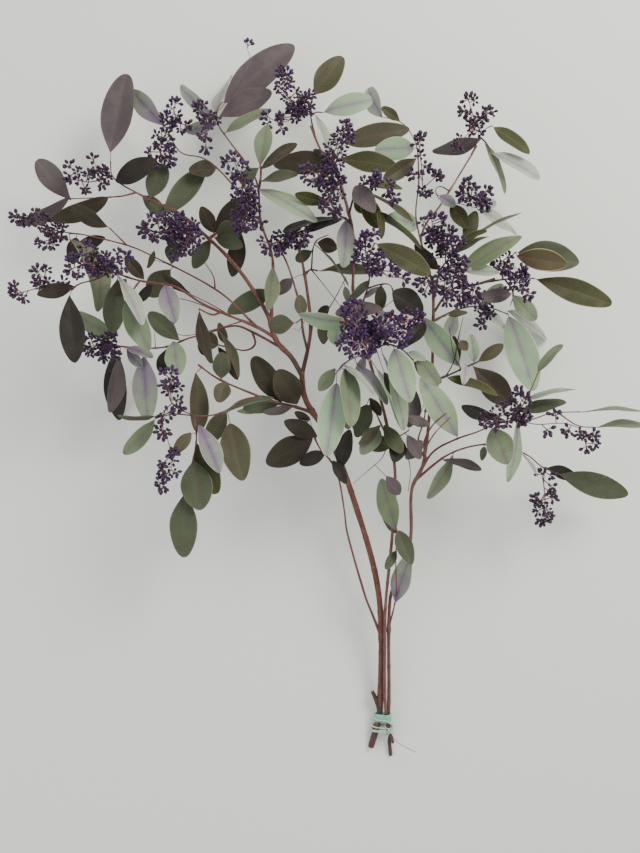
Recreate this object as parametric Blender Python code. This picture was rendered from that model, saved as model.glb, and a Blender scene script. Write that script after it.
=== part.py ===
"""Tied bunch of seeded eucalyptus branches, lying down, built from real sizes."""
import math
import random

import bmesh
import bpy
from mathutils import Vector
from mathutils.bvhtree import BVHTree

# Design lengths are centimetres on the plane of the stems; scene units are metres.
cm = 0.01
eye = 117.0
centre = (-8.26, 42.0)

# Woody stems: radius at the start, radius at the end, points (across, along, height).
stems = {
    "stem_left": [
        (0.45, 0.36, [(-1.7, 0.7, -12.0), (-0.95, 3.3, -11.5), (-0.5, 6.2, -10.9), (-0.45, 12, -9.2),
                      (-0.5, 18, -7.4), (-0.7, 20.5, -6.7), (-1.5, 23.5, -5.8), (-2.2, 26, -5.0),
                      (-3, 29, -4.1), (-3.7, 31.5, -3.4), (-4.3, 33.8, -2.7), (-5, 35.3, -2.3),
                      (-6, 38, -1.6), (-7.2, 40.8, -0.9), (-8.9, 43.3, -0.2), (-9.8, 44.8, 0.2),
                      (-10.4, 46.5, 0.5), (-10.6, 49, 0.8)]),
        (0.33, 0.17, [(-10.6, 48.6, 0.8), (-12, 51, 1.0), (-13.5, 52.5, 1.1), (-14.3, 54, 1.0),
                      (-14.8, 56, 0.8), (-16.3, 58.6, 0.5), (-17.6, 60.7, 0.2), (-20, 63.7, -0.5),
                      (-23, 66.6, -1.2), (-26, 69.2, -2.0), (-28.4, 70.6, -2.5)]),
        (0.28, 0.15, [(-10.6, 48.6, 0.8), (-9.9, 51.5, 0.4), (-9.5, 54, 0), (-9.6, 57, -0.6),
                      (-10.1, 60.3, -1.2), (-10.5, 63, -1.8), (-11.2, 65.5, -2.3)]),
        (0.17, 0.11, [(-9.9, 51.8, 0.4), (-10.5, 54.5, 0.6), (-10.7, 57, 0.3), (-11.5, 60, 0),
                      (-12.3, 62.5, -0.3), (-13.2, 64.5, -0.6)]),
    ],
    "stem_middle": [
        (0.22, 0.19, [(1.15, 1.2, -11.3), (0.6, 3.2, -10.9), (0.2, 5.4, -10.35), (0.12, 8, -9.65),
                      (0.1, 14, -7.85), (0.2, 19, -6.3), (0.7, 23, -5.2), (0.95, 26, -4.3),
                      (1.1, 28.5, -3.6), (1.25, 33, -2.4), (1.4, 36.5, -1.7), (0.9, 39, -1.2),
                      (0.2, 43, -0.6), (-1, 47.5, 0.1), (-2.2, 52, 0.6), (-3.4, 56, 0.9),
                      (-4, 59, 1.0), (-4.1, 62, 1.0), (-3.9, 66, 0.9), (-4.4, 69, 0.7),
                      (-5.2, 72, 0.3), (-6.4, 75.2, -0.3)]),
        (0.17, 0.12, [(-6.4, 75, -0.3), (-8, 77.3, -1.0), (-8.8, 78.9, -1.6), (-9.5, 80.8, -2.2)]),
    ],
    "stem_right": [
        (0.27, 0.18, [(0.85, -0.4, -12.2), (0.5, 3.2, -11.5), (0.62, 6.5, -10.85), (0.8, 9, -10.1),
                      (0.72, 12, -9.2), (0.55, 16.3, -7.9), (0.75, 19.5, -6.95), (1.2, 21, -6.5),
                      (1.7, 22.5, -6.1), (2.5, 23.7, -5.7), (3.1, 25.3, -5.2), (3.5, 28.5, -4.2),
                      (3.4, 32, -3.2), (3.6, 34, -2.6), (4.4, 35.5, -2.2), (5, 37, -1.8),
                      (5.4, 40, -1.0), (5.9, 44, 0), (6.1, 48, 0.6), (6.3, 52, 0.9),
                      (6.5, 56, 1.1), (6.5, 58.5, 1.2), (6.4, 60.4, 1.3)]),
        (0.17, 0.13, [(6.5, 56.8, 1.1), (8.2, 59.3, 0.9), (9.5, 60, 0.7), (11.5, 60.2, 0.4),
                      (14.3, 61.1, 0)]),
        (0.16, 0.10, [(6.4, 60, 1.3), (5.6, 63, 0.9), (4.8, 66, 0.5), (5.5, 68.3, 0.1),
                      (7.1, 70.3, -0.3), (8, 71.9, -0.6), (10.3, 75.3, -1.3), (12, 78.2, -2.0)]),
        (0.11, 0.08, [(4.8, 65.6, 0.5), (4.1, 69.3, 0.8), (4.3, 71.4, 0.9), (4.5, 73.6, 1.0),
                      (4.4, 75.6, 1.1)]),
    ],
}

# Leafy sprays: the node they grow from, their height, twigs, and leaves given as
# base, tip, seen width, rise of the tip and tone (and a sideways bow when curved).
sprays = {
    "spray_foot": ("stem_right", -3.2, 0.10, [[(0.5, 17.1), (1.4, 19.2), (1.6, 21), (1.5, 25), (1.7,
        28.4)]], [
        (1.5, 28.6, -0.3, 35.3, 2.6, 0.8, 3), (1.7, 28.2, -0.6, 32.6, 1.2, -1.2, 6),
        (1.8, 28.6, 3.6, 24.2, 2.2, 2.6, 4), (1.45, 19.3, 3.4, 25.5, 2.3, 2.2, 3),
        (1.6, 26, 0.2, 23.6, 1.2, 1.6, 4)]),
    "twig_left": ("stem_left", 0.2, 0.17, [[(-0.5, 16.4), (-1.8, 18.5), (-2.4, 20), (-2.9, 22), (-3.6, 24),
                                            (-4.2, 26), (-4.8, 28.5), (-5.1, 31), (-5.4, 33), (-5.9, 35.5),
                                            (-6.9, 37.6), (-8.3, 39.2), (-9.3, 41.4)]], [
        (-9.2, 40.5, -15.2, 37.2, 3.6, 1.5, 7), (-8.6, 40.7, -12.9, 42.7, 2.2, 1.0, 7),
        (-7.5, 38.7, -10.9, 37.2, 1.8, 2.0, 8), (-6.6, 37.6, -4.9, 34.6, 1.4, 1.5, 8),
        (-9.5, 42.9, -11.5, 43.9, 1.0, 2.2, 7), (-5.7, 36.4, -4.4, 41.6, 2.0, 1.0, 8)]),
    "spray_shadow": ("stem_middle", 1.6, 0.12, [[(0.7, 40.3), (-0.6, 42.8), (-1.9, 45.6)],
                                                [(0.2, 41.2), (1.8, 40.7), (3.2, 41.5)]], [
        (0.0, 42.6, -3, 38.4, 2.5, 2.0, 3), (2.2, 40.4, 1.2, 37.4, 2.2, 1.6, 8),
        (-0.4, 42.2, -3.3, 39.8, 1.3, 3.2, 9), (-1.6, 45.3, -3.6, 40.6, 2.2, -0.6, 8),
        (-1.8, 45.7, -0.4, 43.4, 1.2, 1.4, 8), (3.1, 41.7, 3.5, 47.1, 2.8, -0.8, 9),
        (3.0, 40.9, 4.7, 37.8, 1.6, 2.4, 9)]),
    "spray_front": ("stem_middle", 8.5, 0.14, [[(-2.0, 51.4), (-3.4, 50.9), (-5.2, 50.1), (-6.2, 48.8)],
                                               [(-3.3, 50.9), (-1.6, 51.9), (0.6, 52.6), (2.4, 51.9),
                                                (3.7, 50.6)]], [
        (-6.1, 47.6, -7.4, 38.2, 3.6, 1.5, 0), (-4.8, 48.9, -4.6, 41.6, 2.3, 0.2, 3),
        (-3.6, 50.2, 0.4, 44.8, 1.6, 1.8, 2), (-6.3, 49.5, -8.4, 46.6, 1.8, -1.6, 3),
        (-2.4, 50.9, -3.8, 48.5, 1.2, 2.2, 0), (-0.2, 51.4, 2.6, 41.5, 2.0, -1.6, 1),
        (1.2, 52.5, 3.4, 45.1, 3.4, 0.8, 1), (3.2, 51.6, 5.4, 50.6, 1.1, 1.4, 0),
        (3.9, 50.3, 7.4, 47.6, 2.0, 0.6, 3), (2.6, 52.1, 5.2, 55.4, 2.0, -3.2, 8)]),
    "spray_low_left": ("stem_left", 1.4, 0.18, [[(-9.8, 44.9), (-12, 44.7), (-14, 45.1), (-16.9, 46.2),
                                                 (-19, 47.2), (-21.5, 48.2), (-24, 50)]], [
        (-13.4, 45.0, -18.2, 44.4, 1.5, 2.2, 4), (-24.3, 48.9, -24, 41.2, 2.3, -1.8, 7),
        (-13.2, 45.2, -16.9, 51, 3.0, -1.6, 8), (-11.2, 44.9, -13.8, 49.3, 3.6, 1.4, 8),
        (-11, 44.5, -15.6, 43.9, 1.1, 1.8, 6), (-21.0, 48.2, -20.9, 51.6, 2.3, 1.2, 5),
        (-20.4, 47.7, -21.4, 45.1, 2.2, 1.6, 5)]),
    "spray_hang_left": ("spray_low_left", 4.2, 0.12, [[(-16.9, 46.1), (-18.6, 45.3), (-20.2, 44.1),
                                                       (-22.5, 43.4),
                                                       (-24.5, 43.4), (-27.1, 43.6), (-29.4, 43.1)],
                                                      [(-24.6, 43.4), (-24.2, 40.5), (-24.6, 38), (-25.3,
                                                          35.6),
                                                       (-25.8, 33.6)]], [
        (-19.9, 42.4, -18.2, 35, 3.8, 1.4, 5), (-20.4, 44, -22.9, 39.7, 2.4, -1.6, 6),
        (-23.9, 42.2, -21.2, 36, 2.4, 2.0, 2), (-24.9, 41.2, -27.2, 38.4, 1.6, 1.2, 5),
        (-29.5, 42.9, -33.6, 38.4, 1.9, -0.6, 4), (-29.6, 43.3, -34.4, 43.4, 0.7, 1.4, 4),
        (-21, 43.6, -14.2, 45.6, 0.7, 3.4, 4), (-24.4, 37.9, -23.7, 31.2, 4.2, 1.0, 3),
        (-24.3, 39.9, -21.6, 33.3, 3.0, -1.8, 8), (-25.8, 33.2, -25.8, 25.1, 3.6, -1.0, 4)]),
    "spray_left_low": ("stem_left", -3.6, 0.15, [[(-14.2, 53.2), (-17, 54.2), (-19.3, 55), (-21.5, 54.5),
                                                  (-23.5, 53.8), (-25.2, 53.4), (-28, 52.3), (-31, 52.1),
                                                  (-33, 52.3), (-34.5, 52.4)],
                                                 [(-17.2, 54.2), (-16.6, 52.6), (-18, 51.8), (-19.7, 52.2),
                                                  (-21.6, 52.6), (-22.6, 53.6)]], [
        (-21.3, 52.9, -18.9, 48, 1.4, 0.6, 7), (-22.8, 53.8, -23.3, 51.2, 1.9, 1.0, 8),
        (-20.2, 52.4, -21.3, 55.4, 1.2, 1.0, 5),
        (-34.9, 51.4, -34.2, 42.8, 2.8, -8.8, 8), (-34.2, 51, -35.4, 43.8, 1.6, 1.2, 6),
        (-31, 51.2, -30.5, 42.8, 3.3, 0.8, 3), (-33.2, 52.2, -29.8, 50.9, 1.3, 2.4, 2),
        (-27.2, 53, -26.5, 48.6, 2.8, 2.4, 0), (-26.4, 53.1, -30.4, 56.7, 2.4, 1.6, 4),
        (-28, 52, -28.9, 49, 1.6, -1.6, 7), (-34.6, 53.4, -40, 56.7, 2.3, 1.2, 3)]),
    "spray_left_mid": ("stem_left", 6.2, 0.17, [[(-14.6, 54.6), (-17, 55.2), (-19, 55.9), (-21, 56.7),
                                                 (-23.5, 57.9),
                                                 (-25.5, 59.2), (-27, 60.1), (-28.5, 60.5), (-31.5, 60.8),
                                                 (-33.2, 61.5), (-35.2, 62)],
                                                [(-35.0, 61.9), (-37.4, 60.9), (-39.4, 60.4), (-40.3,
                                                    59.6)],
                                                [(-31.6, 60.8), (-32.4, 59.6), (-33.2, 58.6)],
                                                [(-21.2, 56.8), (-22.2, 56.4), (-23.9, 57.2)]], [
        (-34.4, 61, -35, 54, 2.9, -2.0, 4), (-34.6, 61.8, -31.3, 55.1, 1.2, 2.4, 2),
        (-33.4, 58.3, -30.3, 51.8, 3.0, 1.0, 3), (-28.3, 60.2, -26.9, 55.4, 2.7, 2.0, 0),
        (-25, 59.2, -28.6, 61.9, 1.0, 1.4, 7), (-30, 60.4, -31.9, 57.9, 1.1, -1.2, 8),
        (-31, 61, -33.4, 64, 1.7, 1.2, 8), (-40.6, 58.9, -39.9, 50.2, 3.1, 0.2, 7),
        (-40.1, 60.1, -44.8, 59, 1.6, 1.4, 8), (-24, 57.1, -22.3, 50.1, 1.3, 0.8, 7, 0.09)]),
    "spray_left_high": ("spray_left_mid", 2.4, 0.13, [[(-18.2, 55.7), (-20, 57.9), (-21.3, 59.4), (-22.5,
        60.2),
                                                       (-25, 61.5), (-27.2, 62.6), (-30.5, 64.3), (-33.2,
                                                           65.4),
                                                       (-37, 66.3), (-39, 66.8), (-40.6, 66.9)],
                                                      [(-33.3, 65.4), (-34.4, 66.6), (-35.4, 67.6)]], [
        (-27.2, 62.8, -30.4, 58.8, 3.0, -1.4, 4), (-27.4, 63, -26.9, 65.9, 2.2, -1.0, 4),
        (-40.6, 66.2, -36.9, 56.8, 2.7, 1.8, 2, -0.17), (-39.7, 66.4, -40.2, 62.9, 2.0, -1.2, 8),
        (-35.6, 67.6, -40.4, 70.4, 1.9, -0.6, 7)]),
    "spray_left_top": ("stem_left", -3.4, 0.13, [[(-28.5, 70.7), (-30.5, 71.4), (-32, 72.2), (-33.5, 73.2),
                                                  (-35, 74.2), (-35.3, 76.2)],
                                                 [(-31.9, 72.1), (-34, 71.7), (-36.8, 71.5), (-40.2,
                                                     71.4)]], [
        (-35.3, 77.4, -33.2, 87.5, 4.1, -1.4, 6), (-34.6, 73.6, -29.3, 76.4, 2.9, 2.0, 8),
        (-35.6, 71.5, -43.1, 68.6, 1.7, 1.6, 7), (-40.6, 71.6, -47.5, 67.9, 0.7, 0.6, 6),
        (-40.4, 71.2, -44.8, 76.4, 2.9, -1.8, 6), (-31.2, 71.8, -28.1, 69.2, 1.8, -1.8, 7),
        (-30.2, 71.4, -28.3, 75.9, 2.8, -1.6, 5)]),
    "spray_crown_left": ("limb_mid", -5.4, 0.13, [[(-16.2, 70.6), (-18, 71.5), (-18.8, 72.5), (-20, 73.9),
                                                   (-21.4, 75.2), (-23.5, 76.7), (-25, 77), (-26, 77.2),
                                                   (-27, 78.3), (-27.7, 79.8), (-28.1, 80.6)]], [
        (-21.7, 75.3, -25.2, 75, 2.2, 2.0, 8), (-22.6, 75.9, -28.2, 69.6, 2.9, 1.0, 4),
        (-28.3, 80.5, -32.7, 85.4, 2.3, -0.6, 2)]),
    "spray_top_left": ("limb_mid", -5.6, 0.13, [[(-18.7, 77.3), (-20.3, 79.3), (-21.5, 81.2), (-21.6, 82.8),
                                                 (-20.9, 83.8)]], [
        (-20.6, 83.8, -11.6, 91.2, 4.3, -1.0, 6), (-21.2, 82, -14.5, 85.2, 3.1, 1.6, 5),
        (-20.7, 79.9, -14.5, 82.8, 2.0, 0.6, 3), (-21.6, 82.6, -19.6, 87.2, 1.6, -6.6, 0),
        (-21.7, 81, -25.6, 80.1, 1.5, -1.2, 2), (-21.8, 82, -26.3, 85.9, 1.4, -2.4, 0)]),
    "limb_mid": ("stem_left", 1.6, 0.19, [[(-14.8, 56.4), (-14.5, 58.5), (-14.3, 61), (-14.4, 63.8),
                                           (-15.2, 66),
                                           (-15.9, 68.5), (-16.2, 71), (-16.4, 73.5), (-17.4,
                                               75.4), (-18.3, 76.7)],
                                          [(-16.3, 72.2), (-15.9, 74.2), (-15.9, 75.6)]], [
        (-14.5, 59.4, -20.2, 56.7, 2.6, -2.0, 7), (-14.3, 62.6, -15.1, 57, 1.7, 2.4, 3),
        (-16.0, 75.6, -15.1, 80.9, 2.3, -1.6, 3), (-15.9, 75.2, -11.2, 78.5, 1.9, 1.6, 7),
        (-15.9, 73.6, -11.1, 74.5, 1.7, 2.0, 7), (-16.1, 72.6, -8.7, 68.4, 2.5, 2.6, 0)]),
    "spray_limb_left": ("stem_left", -3.6, 0.13, [[(-22.6, 66.3), (-21.2, 67.2), (-19.6, 67.6), (-18.2,
        67.3)]], [
        (-22.4, 66.6, -18.2, 65.2, 1.9, 1.0, 7), (-21.8, 67.1, -17.3, 71.6, 2.9, -0.8, 7),
        (-22.1, 66.4, -24.6, 62.4, 2.0, -1.2, 4), (-18.4, 67, -19.6, 61.3, 2.3, -0.6, 8),
        (-21.9, 67, -23.6, 70.4, 1.9, -1.0, 7)]),
    "spray_centre_left": ("stem_left", -3.4, 0.13, [[(-10.3, 61.9), (-9.4, 62.3), (-8.6, 62.1)],
                                                    [(-9.3, 62.3), (-9.1, 64.4), (-8.9, 65.8), (-7.2,
                                                        66.7)]], [
        (-8.5, 62, -0.9, 61.8, 1.8, 0.6, 7), (-9, 65.6, -4.6, 60.1, 0.4, 1.8, 9),
        (-8.9, 65.6, -6, 65, 1.9, -1.2, 7), (-9.2, 64.8, -11.4, 63.4, 1.5, -1.2, 4)]),
    "spray_cross": ("stem_left", 7.6, 0.13, [[(-9.5, 54.8), (-8.4, 55.9), (-6.4, 56.1), (-4.4, 55.7),
                                              (-3, 55.3)],
                                             [(-8.5, 55.8), (-9.8, 56.4), (-11.3, 55.4)]], [
        (-11.2, 55.3, -14.8, 55, 2.5, -1.2, 7), (-10.6, 56, -10.9, 59, 1.6, -1.0, 9),
        (-2.9, 55.2, -11, 56.5, 1.6, 1.6, 1), (-5.9, 56, -6.2, 52.5, 2.4, 0.8, 1),
        (-7.9, 56, -7.8, 52.6, 1.6, 1.2, 5), (-8.6, 55.9, -7.2, 57.6, 1.2, -1.6, 8)]),
    "spray_top": ("stem_middle", -5.4, 0.12, [[(-9.5, 80.9), (-9.5, 82.6), (-9.2, 84.6)],
                                              [(-9.5, 82), (-8.8, 82.6), (-8, 82.5)]], [
        (-9.1, 84.7, -5.3, 89.7, 3.2, 0.6, 9), (-8, 82.6, -1.5, 84.2, 2.9, -0.4, 2),
        (-8.8, 82.2, -6.9, 76, 1.4, 2.4, 1)]),
    "spray_top_mid": ("stem_middle", -3.2, 0.11, [[(-6.3, 74.9), (-6.1, 76.4), (-5.4, 78.3)]], [
        (-5, 78.7, 3.3, 80.4, 3.0, 0.2, 6), (-5.9, 76.5, 1.7, 75.4, 2.9, 2.6, 9),
        (-6.5, 76, -14.3, 75.8, 3.0, -1.0, 8)]),
    "spray_top_right": ("stem_right", -3.4, 0.08, [[(4.4, 75.8), (4.3, 77.6), (3.6, 79.6), (2.3, 81.2),
                                                    (0, 81.9)]], [
        (4.3, 77.9, -1.2, 77.7, 3.0, -1.0, 1), (4.2, 76.6, -0.1, 73.8, 2.0, 1.2, 9),
        (2.2, 81.4, -0.3, 83.2, 1.3, 0.6, 9), (-0.2, 81.9, -2.1, 85.6, 1.8, -5.0, 0)]),
    "spray_centre_up": ("stem_middle", 5.2, 0.12, [[(-4.6, 70), (-3.9, 71.6), (-3.2, 73), (-1.4, 73.3)],
                                                   [(-3.9, 71.4), (-2.6, 70.4), (-0.8, 69.7), (0.4,
                                                       69.4)]], [
        (-3.6, 73, 3.7, 68.4, 1.5, 1.6, 9), (-3.0, 72.4, -0.7, 67.6, 2.4, -1.2, 9),
        (-0.6, 69.9, -0.4, 66.2, 1.1, 1.2, 9), (-3.9, 70.9, -2.0, 69.8, 1.7, 1.4, 9),
        (-2.2, 70.1, 4.9, 64.8, 1.6, -0.8, 9), (0.3, 69.2, 4.3, 67.8, 2.6, -3.0, 1),
        (-1.4, 73.1, 2.4, 72.7, 1.3, -1.8, 9)]),
    "spray_centre_hang": ("stem_middle", 3.2, 0.11, [[(-4.3, 68.4), (-5.0, 68.9), (-5.8, 69.2), (-6.8,
        70.8)]], [
        (-5.3, 68.9, -13, 67.2, 1.5, 1.2, 8), (-4.9, 68.7, -5.3, 62.5, 2.5, 3.0, 2),
        (-6.8, 71, -11.5, 72, 1.4, 1.0, 9)]),
    "spray_centre": ("stem_middle", 8.2, 0.12, [[(-3.6, 57), (-2.6, 58.4), (-1.9, 61), (-1.9, 64), (-1.2,
        65.7)],
                                                [(-2.2, 59.8), (-0.6, 60.3), (0.9, 60.2), (1.3, 58.4)]], [
        (-1, 65.8, 6, 61.6, 3.1, 0.8, 9), (-2.6, 58.6, -0.4, 59.9, 0.9, 2.4, 2),
        (1.1, 59.4, 5, 56.7, 3.2, -2.0, 4), (-0.4, 60.2, -0.5, 56.9, 1.5, -2.2, 4),
        (-2.9, 58, 0.5, 55.8, 1.4, -1.8, 2), (-2.1, 60.8, -4.9, 58, 1.0, -1.6, 3)]),
    "spray_right_up": ("stem_right", 3.8, 0.13, [[(6.4, 60.5), (7.2, 62), (8.3, 63.6), (9.4, 64.8),
                                                  (10.2, 66)],
                                                 [(7.3, 62.2), (8.8, 62.2), (10.2, 62)]], [
        (9.6, 65, 17.8, 69.6, 0.9, 1.2, 5), (10.2, 65.8, 11.9, 69.8, 1.9, -1.2, 9),
        (10.2, 66, 13.3, 67.2, 1.0, 1.2, 9), (9.4, 64.4, 13.5, 66.5, 1.0, -2.4, 9),
        (10.3, 62.2, 17.7, 66.6, 2.5, -2.0, 3), (10.2, 61.8, 14.9, 61.9, 1.6, -1.2, 1),
        (7.1, 62.2, 4, 65.6, 1.4, 1.0, 8)]),
    "spray_right_fork": ("stem_right", 2.6, 0.08, [[(8.3, 72.3), (7.2, 73.0), (6.6, 72.4), (7.1, 71.4)],
                                                   [(7.1, 71.6), (7.9, 71.0), (9.5, 70.8), (12, 70.2)]], [
        (7.2, 71.8, 9.2, 70.4, 1.5, 1.0, 2), (8.2, 70.9, 10.8, 67.5, 2.0, 0.8, 9),
        (12.1, 70, 17.1, 66.8, 1.9, -3.0, 0), (11.8, 70.4, 14.5, 70.9, 1.7, -1.6, 0)]),
    "spray_right": ("stem_right", -1.2, 0.12, [[(14.5, 61.1), (15.5, 61), (17.5, 61.2), (19.4, 61.1)],
                                               [(15.0, 61.1), (15.3, 62.3), (16, 63.5), (17, 64.5)],
                                               [(15.5, 61), (16.5, 59.8), (16.7, 59.2), (16.3, 57.6)]], [
        (17.1, 64.0, 23.5, 62.9, 2.9, 2.0, 9), (17, 64.6, 25.2, 63.2, 3.9, -1.0, 4),
        (19.5, 61.1, 29.4, 57.8, 3.1, 0.8, 9), (16.5, 59, 19.6, 55.7, 2.3, 1.0, 3),
        (16.4, 59.1, 12.2, 58.6, 1.8, 1.2, 6)]),
    "spray_crown_right": ("stem_right", -3.4, 0.10, [[(12.1, 78.4), (12.5, 79.4), (12.8, 80.2), (13.9,
        80.8)],
                                                     [(12.5, 79.3), (13.4, 78.4), (13.7, 77.4)]], [
        (14, 80.8, 18.8, 77.2, 2.2, 0.8, 9), (13.8, 77.3, 20.1, 74, 2.4, -1.2, 0),
        (12.9, 78.9, 15.6, 72.0, 1.7, -1.2, 3), (12.5, 79.1, 6.2, 77.5, 1.4, -1.8, 6)]),
    "spray_right_back": ("stem_right", -6.0, 0.13, [[(6.5, 56.1), (9.5, 57.1), (13, 57.5), (16, 56.5)]], [
        (16.1, 56.3, 19.3, 46.6, 4.1, 0.8, 1), (16, 56.9, 21, 53.2, 1.9, -6.2, 0),
        (9.2, 57, 8.2, 53.2, 1.8, -2.0, 0), (12.6, 57.4, 15.3, 60.4, 1.6, -1.2, 3)]),
    "spray_right_mid": ("stem_right", 0.4, 0.13, [[(6.1, 48.2), (8, 48.5), (9.6, 49.4), (10.9, 50),
                                                   (12.2, 50.4)]], [
        (11.2, 50, 16.4, 44.8, 3.4, -1.0, 7), (12.2, 50.4, 15.4, 52.6, 1.6, 1.4, 7),
        (11.6, 50.4, 11.2, 53.9, 1.7, -1.4, 0), (8.2, 48.3, 14.7, 46, 1.6, 2.0, 9),
        (9.8, 49.7, 5, 56, 2.9, 3.0, 1), (10.6, 50, 10.2, 47.4, 1.3, 1.0, 0),
        (9.4, 49.5, 9, 53.7, 1.2, 1.0, 7)]),
    "spray_right_low": ("stem_right", 3.6, 0.14, [[(4.8, 37.3), (6.3, 38.7), (7.8, 39.4), (9.4, 40.4),
                                                   (12.3, 41.4),
                                                   (14.9, 42.6), (16.3, 42.7), (17.4, 43.4)],
                                                  [(16.2, 42.6), (19, 42.9), (21.5, 43.7), (23, 43.6),
                                                   (25.3, 43.9)],
                                                  [(22.4, 43.6), (25, 42.1), (27.2, 41.9)],
                                                  [(17.1, 43.2), (18.6, 46), (19.9, 49)]], [
        (17.8, 43.8, 23.5, 45.2, 1.6, -1.0, 4), (18.4, 45.6, 24.9, 46.8, 0.7, 1.2, 1),
        (19.9, 49, 23, 52.6, 1.0, -1.6, 2), (15.6, 42.8, 10, 44.7, 1.3, 2.0, 8),
        (14, 42, 15.9, 37.1, 3.5, 0.8, 3), (17.2, 43.1, 16, 34.8, 2.0, -2.0, 1),
        (9.5, 40.7, 4.7, 48.3, 3.4, 1.6, 2), (25.4, 43.9, 34.6, 43.7, 0.4, 0.4, 3),
        (27.4, 41.9, 35.6, 42, 0.9, -0.6, 3)]),
    "spray_right_hang": ("stem_right", -4.0, 0.14, [[(5.0, 36.3), (7.5, 37.9), (10, 39.1), (13, 39.7),
                                                     (15.5, 39.5),
                                                     (17.7, 38.7), (19, 38), (20.2, 36.9), (22.4, 35.9)]], [
        (17.9, 38.4, 19.8, 35.5, 0.7, 2.0, 0), (13.1, 39.5, 12.6, 37.6, 0.9, 1.0, 4),
        (21, 36.6, 25, 35.3, 1.7, 1.6, 8), (22.6, 36, 31.5, 33.2, 3.1, -0.8, 4),
        (7.6, 37.7, 12.6, 36.4, 1.2, 1.8, 2), (8.9, 38.3, 5.6, 32.7, 2.0, 0.6, 4)]),
}

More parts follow.
